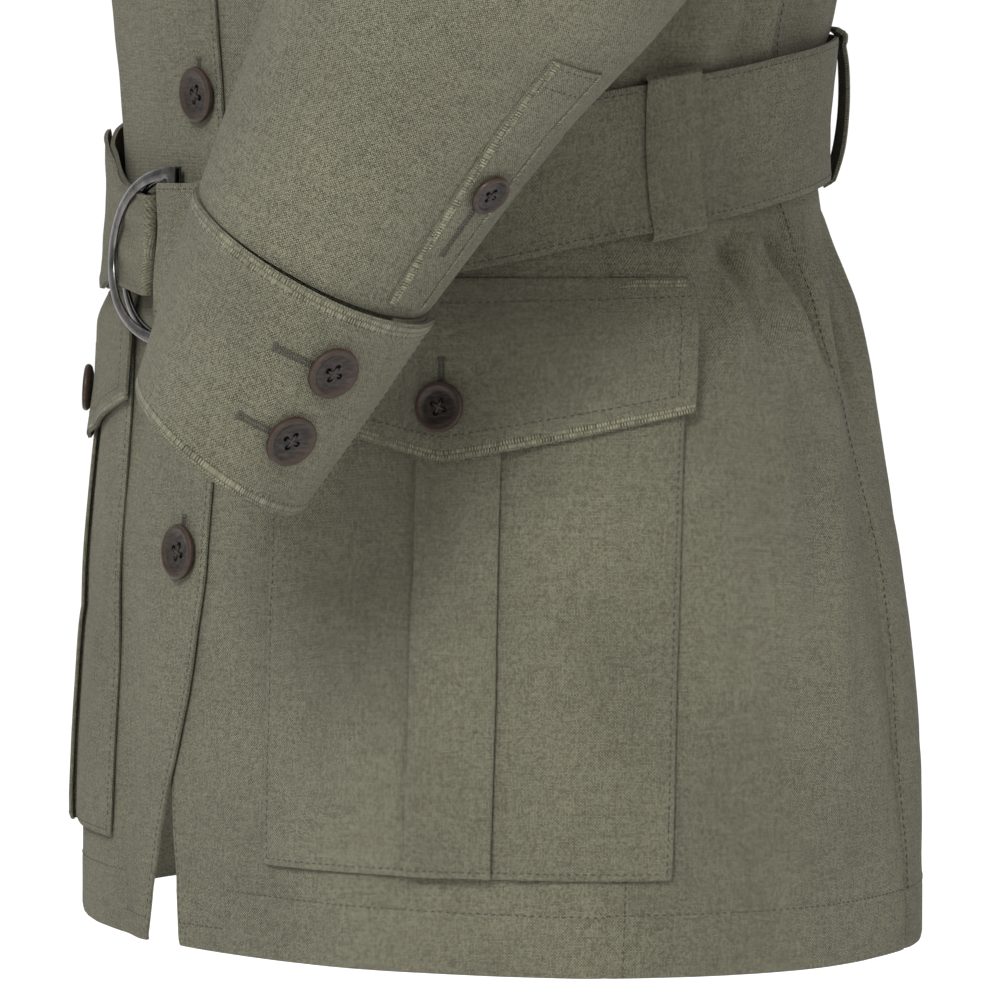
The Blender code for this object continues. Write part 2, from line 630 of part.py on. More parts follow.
# Creases across the sleeves: share of the length, direction round the arm, half length and half angle, height
Crease = namedtuple("Crease", "at round half_at half_round height")
LEFT_CREASES = (
    Crease(0.50, 205, 0.040, 55, -4.5 * MM),
    Crease(0.58, 190, 0.035, 60, -5.0 * MM),
    Crease(0.66, 215, 0.035, 50, -3.5 * MM),
    Crease(0.44, 20, 0.050, 45, 2.5 * MM),
    Crease(0.28, 190, 0.045, 50, -3.5 * MM),
    Crease(0.78, 150, 0.050, 40, -2.5 * MM),
)
RIGHT_CREASES = (
    Crease(0.54, 60, 0.030, 55, -3.2 * MM),
    Crease(0.61, 80, 0.030, 60, -3.8 * MM),
    Crease(0.68, 50, 0.030, 50, -2.6 * MM),
    Crease(0.40, 160, 0.050, 45, -2.4 * MM),
    Crease(0.85, 250, 0.050, 45, -2.0 * MM),
)

Sleeve = namedtuple("Sleeve", "word sign arm cuff across_way cuff_across creases")
SLEEVES = (
    Sleeve("left", 1, LEFT_ARM, LEFT_CUFF, (0.497, 0.709, -0.500), (0.450, 0.643, -0.620), LEFT_CREASES),
    Sleeve("right", -1, RIGHT_ARM, RIGHT_CUFF, (0.300, 0.954, 0.0), (0.300, 0.945, -0.130), RIGHT_CREASES),
)

# The cuff laps over itself at its back edge; angles run from that edge round by the outside of the arm
CUFF_LAP_OUT = 2.7 * MM
CUFF_LAP_FULL = 58
CUFF_LAP_END = 140
CUFF_UNDER = 36
CUFF_PROUD = 1.2 * MM
CUFF_ROWS = 3
CUFF_COLUMNS = 22
CUFF_BUTTONS = (0.294, 0.651)
CUFF_BUTTON_ROUND = 56.5
PLACKET_ROUND = (24, 48)
PLACKET_AT = (0.800, 0.992)
PLACKET_BUTTON_AT = 0.913
PLACKET_BUTTON_ROUND = 36


def centre(row):
    return Vector((row.x, row.y, row.z))


def run_of(row):
    return Vector((row.run_x, row.run_y, row.run_z)).normalized()


def arm_frames(sleeve, shares):
    """For each share of the sleeve: its row, its run, and the two axes that the cap's up and front turn into."""
    frames = []
    run = OUTWARD
    up_axis = UP.copy()
    for share in shares:
        row = between(sleeve.arm, share)
        up_axis = run.rotation_difference(run_of(row)) @ up_axis
        run = run_of(row)
        frames.append((row, run, up_axis.copy(), run.cross(up_axis)))
    return frames


def across_axes(sleeve, run):
    across = Vector(sleeve.across_way)
    across = (across - run * across.dot(run)).normalized()
    return across, run.cross(across)


def arm_radius(sleeve, row, run, up_axis, front_axis, turn):
    """The sleeve's radius in one direction round it: the cap's oval blends into the forearm's."""
    way = up_axis * math.cos(turn) + front_axis * math.sin(turn)
    cap = 1 / math.hypot(math.cos(turn) / row.across, math.sin(turn) / row.view)
    across, view = across_axes(sleeve, run)
    fore = 1 / math.hypot(way.dot(across) / row.across, way.dot(view) / row.view)
    radius = cap + (fore - cap) * min(max(row.fore, 0), 1)
    for crease in sleeve.creases:
        along = (row.at - crease.at) / crease.half_at
        round_it = turn_between(math.degrees(turn), crease.round) / crease.half_round
        radius += crease.height * math.exp(-along * along - round_it * round_it)
    return way, radius


def armhole_outline():
    points = [yoke(level.arm_x, level.arm_z, -1) for level in reversed(FRONT_LEVELS)]
    points += side_panel(1, 0)[-1]
    points += [yoke(level.arm_x, level.arm_z, 1) for level in BACK_LEVELS]
    return points


def armhole_point(outline, turn, inset):
    """Where the armhole's edge lies in one direction from its middle, brought in by the inset."""
    way = (math.cos(turn), math.sin(turn))
    best = None
    for start, end in zip(outline, outline[1:] + outline[:1]):
        first = (start.z - ARMHOLE_MIDDLE.z, ARMHOLE_MIDDLE.y - start.y)
        step = (end.z - start.z, start.y - end.y)
        across = way[0] * step[1] - way[1] * step[0]
        if abs(across) < 1e-9:
            continue
        share = (way[1] * first[0] - way[0] * first[1]) / across
        reach = (first[0] + step[0] * share) * way[0] + (first[1] + step[1] * share) * way[1]
        if -1e-6 <= share <= 1 + 1e-6 and reach > 0 and (best is None or reach > best[0]):
            best = (reach, start.x + (end.x - start.x) * share)
    reach, x = best
    reach -= inset
    return Vector((x + ARMHOLE_GAP, ARMHOLE_MIDDLE.y - reach * way[1], ARMHOLE_MIDDLE.z + reach * way[0]))


def sleeve_grid(sleeve, out):
    """Rings from the armhole to the cuff seam, with columns round the arm."""
    outline = armhole_outline()
    shares = [CAP_SHARE * step for step in CAP_STEPS]
    shares += steps(CAP_SHARE * PAST_CAP, 1.0, SLEEVE_RINGS - len(CAP_STEPS))
    turns = [math.tau * column / SLEEVE_SIDES for column in range(SLEEVE_SIDES)]
    grid = []
    for row, run, up_axis, front_axis in arm_frames(sleeve, shares):
        blend = ease(row.at / CAP_SHARE)
        ring = []
        for turn in turns:
            way, radius = arm_radius(sleeve, row, run, up_axis, front_axis, turn)
            round_point = centre(row) + way * (radius + out)
            loop = armhole_point(outline, turn, SEAM - out) - ARMHOLE_MIDDLE
            loop = centre(row) + run * loop.x + up_axis * loop.z - front_axis * loop.y
            ring.append(loop.lerp(round_point, blend))
        grid.append(ring)
    grid.reverse()
    return sided(sleeve.sign, grid)


def sided(sign, grid):
    if sign > 0:
        return [list(reversed(row)) for row in grid]
    return [[Vector((-point.x, point.y, point.z)) for point in row] for row in grid]


def sleeve_surface(sleeve, at, round_it, out):
    """A point on the sleeve by its share of the length and its angle from the cuff's lap edge."""
    row, run, up_axis, front_axis = arm_frames(sleeve, steps(0, at, FINE_STEPS))[-1]
    across, view = across_axes(sleeve, run)
    way = across * math.cos(math.radians(round_it)) + view * math.sin(math.radians(round_it))
    turn = math.atan2(way.dot(front_axis), way.dot(up_axis))
    way, radius = arm_radius(sleeve, row, run, up_axis, front_axis, turn)
    return centre(row) + way * (radius + out)


def cuff_point(sleeve, along, round_it, out):
    """A point on the cuff: along runs from its seam to its end, round_it from its lap edge."""
    start, end = sleeve.arm[-1], sleeve.cuff
    middle = centre(start).lerp(centre(end), along)
    run = run_of(start).lerp(run_of(end), along).normalized()
    across = across_axes(sleeve, run_of(start))[0].lerp(Vector(sleeve.cuff_across), along).normalized()
    view = run.cross(across).normalized()
    half_across = start.across + (end.across - start.across) * along
    half_view = start.view + (end.view - start.view) * along
    lap = CUFF_LAP_OUT * (1 - ease((round_it - CUFF_LAP_FULL) / (CUFF_LAP_END - CUFF_LAP_FULL)))
    out = out + lap + CUFF_PROUD
    turn = math.radians(round_it)
    return middle + across * math.cos(turn) * (half_across + out) + view * math.sin(turn) * (half_view + out)


def cuff_grid(sleeve, out):
    begin = SEAM / (centre(sleeve.cuff) - centre(sleeve.arm[-1])).length
    grid = []
    for along in steps(1.0, begin, CUFF_ROWS):
        turns = steps(0, 360 + CUFF_UNDER, CUFF_COLUMNS)
        grid.append([cuff_point(sleeve, along, turn, out) for turn in turns])
    return sided(sleeve.sign, grid)


def placket_grid(sleeve, out):
    grid = []
    for at in steps(PLACKET_AT[1], PLACKET_AT[0], 4):
        grid.append([sleeve_surface(sleeve, at, turn, out) for turn in steps(*PLACKET_ROUND, 3)])
    return sided(sleeve.sign, grid)


def mirrored(sign, point):
    return point if sign > 0 else Vector((-point.x, point.y, point.z))


def facing(surface, first, second, first_reach, second_reach):
    """The way a surface faces where its two coordinates are first and second, out of the side they turn round."""
    along = surface(first + first_reach, second) - surface(first - first_reach, second)
    beside = surface(first, second + second_reach) - surface(first, second - second_reach)
    return along.cross(beside).normalized()


def make_sleeves():
    for sleeve in SLEEVES:
        word = sleeve.word
        cloth(word + "_sleeve", lambda out: sleeve_grid(sleeve, out), LINEN, -WALL, 0, True)
        cloth(word + "_cuff", lambda out: cuff_grid(sleeve, out), LINEN, -WALL, 0)
        cloth(word + "_placket", lambda out: placket_grid(sleeve, out), LINEN, LAY, LAY + PATCH_WALL)
        for number, along in enumerate(CUFF_BUTTONS, 1):
            place_button(f"{word}_cuff_button_{number}", sleeve, cuff_point, (along, CUFF_BUTTON_ROUND), CUFF_BUTTON)
        spot = (PLACKET_BUTTON_AT, PLACKET_BUTTON_ROUND)
        place_button(word + "_placket_button", sleeve, placket_top, spot, PLACKET_BUTTON)


def placket_top(sleeve, at, round_it, out):
    return sleeve_surface(sleeve, at, round_it, out + LAY + PATCH_WALL)


def place_button(name, sleeve, surface, spot, size):
    def point(along, round_it):
        return mirrored(sleeve.sign, surface(sleeve, along, round_it, BUTTON_LIFT))

    way = facing(point, *spot, *SLEEVE_REACH) * -sleeve.sign
    make_button(name, point(*spot), way, size)


# Buttons


def make_button(name, point, way, size):
    """A button turned from a profile, its foot at the point, facing the way."""
    across = way.orthogonal().normalized()
    beside = way.cross(across)
    shape = bmesh.new()
    foot = shape.verts.new(point)
    rings = []
    for radius, height in BUTTON_PROFILE:
        ring = []
        for side in range(BUTTON_SIDES):
            turn = math.tau * side / BUTTON_SIDES
            round_it = across * math.cos(turn) + beside * math.sin(turn)
            ring.append(shape.verts.new(point + round_it * radius * size.radius + way * height * size.height))
        rings.append(ring)
    face = shape.verts.new(point + way * BUTTON_PROFILE[-1][1] * size.height)
    for side in range(BUTTON_SIDES):
        after = (side + 1) % BUTTON_SIDES
        shape.faces.new((foot, rings[0][after], rings[0][side]))
        shape.faces.new((face, rings[-1][side], rings[-1][after]))
        for low, high in zip(rings, rings[1:]):
            shape.faces.new((low[side], low[after], high[after], high[side]))
    finish(name, shape, HORN)


def make_front_buttons():
    for number, spot in enumerate(FRONT_BUTTONS, 1):

        def point(x, z):
            return front_point(x, z, LAP + spot.lift)

        way = facing(point, spot.x, spot.z, *FRONT_REACH)
        make_button(f"front_button_{number}", point(spot.x, spot.z), way, FRONT_BUTTON)


def front_point(x, z, out):
    if z > SEAM_TOP_Z:
        return yoke(x, z, -1, out)
    return body(-90 + math.degrees(math.asin(x / between(SECTIONS, z).half_width)), z, out)


# Pockets and flaps


def on_side(side, angle, z, out):
    """A point over the left or right of the body that rides over the raised folds and bridges the sunk ones."""
    angle = angle if side > 0 else 180 - angle
    raised = max(folds_at(angle + away, z) for away in (-FOLD_REACH, 0, FOLD_REACH))
    return body(angle, z, out + max(raised, 0), False)


def pocket_offsets(line, past_pocket, past_pleat):
    """Angles across a pocket or flap, and whether the pleat raises the cloth there."""
    front, back = line.front - past_pocket, line.back + past_pocket
    rise, fall = line.pleat_front - past_pleat, line.pleat_back + past_pleat
    low = [(angle, False) for angle in steps(front, rise - PLEAT_EDGE, 3)]
    high = [(rise, True), (point_angle(line), True), (fall, True)]
    return low + high + [(angle, False) for angle in steps(fall + PLEAT_EDGE, back, 3)]


def point_angle(line):
    return (line.pleat_front + line.pleat_back) / 2 + POINT_ASIDE


def pocket_row(side, z, line, past, out):
    row = []
    for angle, raised in pocket_offsets(line, *past):
        row.append(on_side(side, angle, z, out + (PLEAT_OUT if raised else 0)))
    return row


def pocket_grid(side, out):
    grid = []
    for z in steps(POCKET_BOTTOM_Z, POCKET_TOP_Z, 6):
        grid.append(pocket_row(side, z, between(POCKET, z), (0, 0), out))
    return grid if side > 0 else [list(reversed(row)) for row in grid]


def flap_grid(side, out):
    """Rows up from the pointed edge; the flap lies close to the front under the belt, then over its pocket."""
    over_pocket = LAY + PATCH_WALL
    grid = []
    for share in (0, 0.5, 1):
        row = []
        line = between(POCKET, FLAP_END_Z + (FLAP_CLEAR_Z - FLAP_END_Z) * share)
        offsets = pocket_offsets(line, FLAP_PAST_POCKET, FLAP_PAST_PLEAT)
        middle = point_angle(line)
        for angle, raised in offsets:
            reach = offsets[0][0] - middle if angle < middle else offsets[-1][0] - middle
            low = FLAP_POINT_Z + (FLAP_END_Z - FLAP_POINT_Z) * (angle - middle) / reach
            z = low + (FLAP_CLEAR_Z - low) * share
            row.append(on_side(side, angle, z, out + over_pocket + (PLEAT_OUT if raised else 0)))
        grid.append(row)
    for z, lift in ((FLAP_UNDER_BELT_Z, LAY), (FLAP_TOP_Z, 0)):
        offsets = pocket_offsets(between(POCKET, z), FLAP_PAST_POCKET, FLAP_PAST_PLEAT)
        grid.append([on_side(side, angle, z, out + lift) for angle, raised in offsets])
    return grid if side > 0 else [list(reversed(row)) for row in grid]


def make_pockets():
    for side, word in ((1, "left"), (-1, "right")):
        cloth(word + "_pocket", lambda out: pocket_grid(side, out), LINEN, LAY, LAY + PATCH_WALL)
        cloth(word + "_flap", lambda out: flap_grid(side, out), LINEN, LAY, LAY + PATCH_WALL)
        middle = point_angle(between(POCKET, POCKET_BUTTON_Z))
        angle = middle if side > 0 else 180 - middle

        def point(angle, z):
            return on_side(1, angle, z, 2 * (LAY + PATCH_WALL) + PLEAT_OUT + BUTTON_LIFT)

        way = facing(point, angle, POCKET_BUTTON_Z, *POCKET_REACH)
        make_button(word + "_pocket_button", point(angle, POCKET_BUTTON_Z), way, POCKET_BUTTON)


# The belt, its loops and rings


def belt_z(angle):
    return between(BELT_LINE, 90 - abs(turn_between(angle, 90))).z


def belt_path():
    """The middle of the belt's cloth, as degrees round the body and distances out."""
    path = list(BAR_LOOP_UNDER)
    path += fold_over(BAR_LOOP_TURN, BAR_LOOP_LOW, BAR_LOOP_ROUND, -1)
    path += BAR_LOOP_OVER
    path += [(angle, BELT_MIDDLE) for angle in steps(BELT_RUN_START, BELT_RUN_END, BELT_RUN_STEPS)]
    path += [(TAIL_UNDER, BELT_MIDDLE)]
    path += fold_over(TAIL_TURN, BELT_MIDDLE, TAIL_FOLD_ROUND, 1)
    path += TAIL_BACK
    return path


def fold_over(angle, low, radius, way):
    """A half turn of the belt back over itself, on the way's side of the angle."""
    bend = []
    for turn in (-90, -54, -18, 18, 54, 90):
        turn = math.radians(turn)
        forward = way * math.cos(turn) * radius / WAIST_ARC
        bend.append((angle + forward, low + radius + radius * math.sin(turn)))
    return bend


def belt_grid(out):
    path = belt_path()
    grid = []
    for share in steps(-1, 1, BELT_ROWS):
        row = []
        for index, (angle, middle) in enumerate(path):
            before, after = path[max(index - 1, 0)], path[min(index + 1, len(path) - 1)]
            along = Vector(((after[0] - before[0]) * WAIST_ARC, after[1] - before[1])).normalized()
            turned = angle - along.y * out / WAIST_ARC
            pinch = ease((turned - BELT_PINCH_START) / BELT_PINCH_TURN)
            half = BELT_HALF + (BELT_PINCHED_HALF - BELT_HALF) * pinch
            half -= BAR_PINCH * ease((BAR_PINCH_START - turned) / BAR_PINCH_TURN)
            z = belt_z(turned) + share * half
            row.append(body(turned, z, middle + along.x * out, False))
        grid.append(row)
    return grid


def loop_grid(loop, out):
    grid = []
    for rise in RISES:
        row = []
        for share in steps(-1, 1, 3):
            angle = loop.angle + share * LOOP_HALF
            off = rise.arched if loop.arched else rise.close
            row.append(body(angle, belt_z(angle) + rise.height, out + off))
        grid.append(row)
    return grid


def ring_point(ring, turn, inset, out):
    """A point of a D ring: turn runs from the top of its bar round the curve to the bottom."""
    x = RING_BAR_X - inset - (RING_WIDTH - 2 * inset) * math.sin(turn)
    z = RING_MIDDLE_Z + (RING_HEIGHT / 2 - inset) * math.cos(turn)
    share = (RING_BAR_X - x) / RING_WIDTH
    angle = -90 + math.degrees(math.asin(x / between(SECTIONS, z).half_width))
    return body(angle, z, ring.bar_out + (ring.curve_out - ring.bar_out) * share + out, False)


def make_ring(ring):
    shape = bmesh.new()
    turns = steps(0, math.pi, RING_STEPS)
    layers = []
    for inset, out in ((0, 0), (0, RING_GAUGE), (RING_STRIP, RING_GAUGE), (RING_STRIP, 0)):
        layers.append([shape.verts.new(ring_point(ring, turn, inset, out)) for turn in turns])
    for layer, beside in zip(layers, layers[1:] + layers[:1]):
        for index in range(len(turns)):
            after = (index + 1) % len(turns)
            shape.faces.new((layer[index], beside[index], beside[after], layer[after]))
    bmesh.ops.recalc_face_normals(shape, faces=shape.faces)
    finish(ring.name, shape, NICKEL)


def make_belt():
    cloth("belt", belt_grid, LINEN, -BELT_WALL / 2, BELT_WALL / 2)
    for loop in LOOPS:
        cloth(loop.name, lambda out: loop_grid(loop, out), LINEN, 0, PATCH_WALL)
    for ring in RINGS:
        make_ring(ring)


# The collar


def neck_posts():
    left = [Post(*map(Vector, post)) for post in POSTS]
    right = [Post(*(Vector((-point.x, point.y, point.z)) for point in post)) for post in left[1:]]
    return list(reversed(left)) + right


def outward(point):
    return Vector((point.x - NECK_MIDDLE[0], point.y - NECK_MIDDLE[1], 0)).normalized()


def stand_grid(out):
    grid = []
    for share in steps(0, 1, 2):
        row = []
        for post in neck_posts():
            point = post.foot.lerp(post.top, share)
            row.append(point + outward(point) * out)
        grid.append(row)
    return grid


def collar_grid(out):
    """Rows from the collar's seam, over its roll and down to its outer edge."""
    columns = []
    for post in neck_posts():
        way = outward(post.top)
        column = [post.top + way * across + UP * up for across, up in COLLAR_ROLL]
        column += [column[-1].lerp(post.edge, share) for share in COLLAR_FALL]
        moved = []
        for index, point in enumerate(column):
            along = (column[min(index + 1, len(column) - 1)] - column[max(index - 1, 0)]).normalized()
            side = way.cross(UP)
            moved.append(point + side.cross(along).normalized() * -out)
        columns.append(moved)
    return [list(row) for row in zip(*columns)]


def make_collar():
    cloth("collar_stand", stand_grid, LINEN, -WALL, 0)
    cloth("collar", collar_grid, LINEN, -COLLAR_WALL / 2, COLLAR_WALL / 2)


def main():
    for old in list(bpy.data.objects):
        bpy.data.objects.remove(old, do_unlink=True)
    bpy.context.scene.collection.children.link(parts)
    make_body()
    make_sleeves()
    make_pockets()
    make_belt()
    make_collar()
    make_front_buttons()


parts = bpy.data.collections.new("safari jacket")
main()
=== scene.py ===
"""A belted linen safari jacket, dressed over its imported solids.

Metres, +Z up, front at -Y, the wearer's left at +X. The origin is the nape, at the middle of the back neck.
An angle of -90 degrees is centre front, 0 the wearer's left side and 90 centre back. Each piece of cloth is
a thin shell on the form of its solid, with its own creases, and its UV map is measured along the cloth in
metres, so the weave has one size everywhere.
"""

import functools
import logging
import math
from collections.abc import Callable, Iterable, Sequence
from dataclasses import dataclass, field
from enum import Enum
from typing import NamedTuple

import bmesh
import bpy
from mathutils import Matrix, Vector, noise

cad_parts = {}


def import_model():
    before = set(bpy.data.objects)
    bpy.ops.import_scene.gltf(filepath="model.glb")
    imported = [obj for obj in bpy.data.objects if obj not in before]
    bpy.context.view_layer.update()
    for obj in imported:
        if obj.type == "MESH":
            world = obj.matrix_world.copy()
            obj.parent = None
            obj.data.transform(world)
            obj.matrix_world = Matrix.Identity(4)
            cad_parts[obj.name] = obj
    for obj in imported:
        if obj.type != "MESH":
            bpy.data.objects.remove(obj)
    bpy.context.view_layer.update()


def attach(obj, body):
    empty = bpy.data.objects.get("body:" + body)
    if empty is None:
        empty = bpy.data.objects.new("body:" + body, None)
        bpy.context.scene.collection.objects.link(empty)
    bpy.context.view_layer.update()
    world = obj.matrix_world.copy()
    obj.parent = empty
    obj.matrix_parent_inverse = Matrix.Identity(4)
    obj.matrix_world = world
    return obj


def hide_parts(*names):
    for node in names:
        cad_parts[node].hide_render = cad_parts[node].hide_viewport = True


log = logging.getLogger("safari jacket")

MM = 0.001
ROOT = "root"
UP = Vector((0.0, 0.0, 1.0))
OUTWARD = Vector((1.0, 0.0, 0.0))

# Gaps and lengths shared with the solids
WALL = 1.7 * MM
SEAM = 0.3 * MM
LAY = 1.1 * MM
LAP = WALL + LAY
HEM_Z = -0.695
SEAM_TOP_Z = -0.222
UNDERARM_Z = -0.24
LAP_HALF = 18 * MM
LAP_EASE = 24 * MM
FOLD_EARLY = 0.55
EDGE_CROWDING = 1.15
NECK_POINT = (0.078, 0.010)
SHOULDER_TIP = (0.197, -0.050)
NECK_RISE = 1.0
SHOULDER_Y = -0.066
SHOULDER_ROUND = 0.095
WAIST_ARC = 2.65 * MM

# A panel's tucked edge: how far it goes under its neighbour, and how deep; where the long seams end, as a
# share of its height; and its extra rows by the hem
TUCKED = 2.4 * MM
TUCKED_DOWN = 1.3 * MM
SPLIT = 0.665
HEM_CROWDING = (0.002, 0.005, 0.010)
ROLLED = 0.35 * MM
LEVEL_GAP = 20 * MM

# How far a wrinkle is felt, and how it fades in before its first point and out past its last, as shares
WRINKLE_REACH = 18 * MM
WRINKLE_PAST = 0.2
WRINKLE_IN = 0.45
WRINKLE_OUT = 0.7

# How far cloth that is never flat waves off its form, coarsely and finely, and on the yoke
UNEVEN = 0.55 * MM
UNEVEN_FINE = 0.25 * MM
YOKE_UNEVEN = 0.9 * MM

# How a sewn edge and a hem's edge turn in, and how the doubled hem stands proud
SEAM_DEPTH = 0.9 * MM
SEAM_REACH = 1.6 * MM
HEM_DEPTH = 0.5 * MM
HEM_REACH = 1.2 * MM
HEM_PROUD = 0.25 * MM
HEM_WIDTH = 20 * MM
HEM_FADE = 5 * MM


class Section(NamedTuple):
    """A plan section of the body: an oval with its own depth before and behind its middle."""

    z: float
    half_width: float
    front: float
    back: float
    centre_y: float


class SeamLine(NamedTuple):
    """Where the long seams stand at a height, in degrees round the body."""

    z: float
    front_side: float
    back_side: float


class Edge(NamedTuple):
    """How far past centre front each front reaches at a height."""

    z: float
    right_past: float
    left_past: float


class Fold(NamedTuple):
    """A soft gather down the body between two heights, pressed in or raised."""

    angle: float
    lean: float
    width: float
    height: float
    z_start: float
    z_end: float


class Level(NamedTuple):
    """A line across a front or half the back, from the neck or middle out to the armhole."""

    inner_x: float
    inner_z: float
    arm_x: float
    arm_z: float


class Wrinkle(NamedTuple):
    """A crease from one point of the body to another, as angle and height, with its width and depth."""

    angle: float
    z: float
    end_angle: float
    end_z: float
    width: float
    depth: float


class BeltLine(NamedTuple):
    """The height of the belt's middle at an angle round the body."""

    angle: float
    z: float


class PocketLine(NamedTuple):
    """The left pocket's edges and pleat at a height, in degrees round the body."""

    z: float
    front: float
    pleat_front: float
    pleat_back: float
    back: float


class Spot(NamedTuple):
    """A front button's place, and how far it stands off the cloth."""

    x: float
    z: float
    lift: float


class Button(NamedTuple):
    """The size of a button."""

    radius: float
    height: float


class Ring(NamedTuple):
    """How far the underside of a D ring stands off the body at its bar and at its curve."""

    name: str
    bar_out: float
    curve_out: float


class Rise(NamedTuple):
    """How far a belt loop stands off the body at a height from its middle."""

    height: float
    close: float
    arched: float


class Loop(NamedTuple):
    """A belt loop's place round the body."""

    name: str
    angle: float
    arched: bool


class Post(NamedTuple):
    """A line up the neck: the foot and top of the stand, and the collar's outer edge."""

    foot: tuple[float, float, float]
    top: tuple[float, float, float]
    edge: tuple[float, float, float]


class Arm(NamedTuple):
    """A ring of a sleeve: its middle, its half sizes, how far it is the forearm's oval, and its run."""

    at: float
    x: float
    y: float
    z: float
    across: float
    view: float
    fore: float
    run_x: float
    run_y: float
    run_z: float

    def middle(self) -> Vector:
        """The ring's middle."""
        return Vector((self.x, self.y, self.z))

    def way(self) -> Vector:
        """The way the sleeve runs there."""
        return Vector((self.run_x, self.run_y, self.run_z)).normalized()


class Crease(NamedTuple):
    """A dent or ridge on a sleeve, by share of the length and direction round the arm."""

    at: float
    round: float
    half_at: float
    half_round: float
    height: float


SECTIONS = (
    Section(-0.720, 0.1855, 0.1435, 0.1420, -0.0925),
    Section(-0.700, 0.1855, 0.1435, 0.1420, -0.0925),
    Section(-0.650, 0.1840, 0.1430, 0.1410, -0.0920),
    Section(-0.600, 0.1810, 0.1400, 0.1385, -0.0925),
    Section(-0.550, 0.1755, 0.1360, 0.1350, -0.0955),
    Section(-0.503, 0.1670, 0.1310, 0.1285, -0.0970),
    Section(-0.465, 0.1610, 0.1275, 0.1245, -0.0995),
    Section(-0.435, 0.1520, 0.1225, 0.1185, -0.1030),
    Section(-0.405, 0.1490, 0.1205, 0.1170, -0.1050),
    Section(-0.357, 0.1540, 0.1240, 0.1205, -0.1050),
    Section(-0.300, 0.1650, 0.1335, 0.1255, -0.1015),
    Section(-0.262, 0.1710, 0.1365, 0.1275, -0.0985),
    Section(-0.225, 0.1770, 0.1310, 0.1285, -0.0960),
    Section(-0.190, 0.1900, 0.1170, 0.1270, -0.0925),
    Section(-0.150, 0.2060, 0.0950, 0.1235, -0.0885),
    Section(-0.100, 0.2260, 0.0610, 0.1130, -0.0850),
    Section(-0.050, 0.2450, 0.0380, 0.0990, -0.0850),
    Section(0.000, 0.2580, 0.0290, 0.0850, -0.0850),
    Section(0.040, 0.2650, 0.0250, 0.0780, -0.0850),
)

SEAMS = (
    SeamLine(-0.720, -28.5, 29.5),
    SeamLine(-0.640, -27.5, 28.5),
    SeamLine(-0.550, -25.0, 28.0),
    SeamLine(-0.503, -23.0, 25.5),
    SeamLine(-0.470, -21.5, 20.5),
    SeamLine(-0.435, -20.8, 17.5),
    SeamLine(-0.400, -20.5, 15.0),
    SeamLine(-0.320, -22.5, 18.0),
    SeamLine(-0.222, -25.0, 23.0),
    SeamLine(-0.150, -25.0, 23.0),
)

EDGES = (
    Edge(-0.720, -22 * MM, -4 * MM),
    Edge(-0.695, -17 * MM, -2.5 * MM),
    Edge(-0.660, -9 * MM, 1 * MM),
    Edge(-0.620, 2.5 * MM, 7 * MM),
    Edge(-0.590, 11 * MM, 13 * MM),
    Edge(-0.560, 17 * MM, 17 * MM),
    Edge(-0.530, 18 * MM, 18 * MM),
    Edge(-0.450, 18.5 * MM, 18 * MM),
    Edge(-0.390, 20.5 * MM, 18 * MM),
    Edge(-0.300, 20.0 * MM, 18 * MM),
    Edge(-0.200, 18 * MM, 18 * MM),
    Edge(-0.080, 18 * MM, 18 * MM),
)

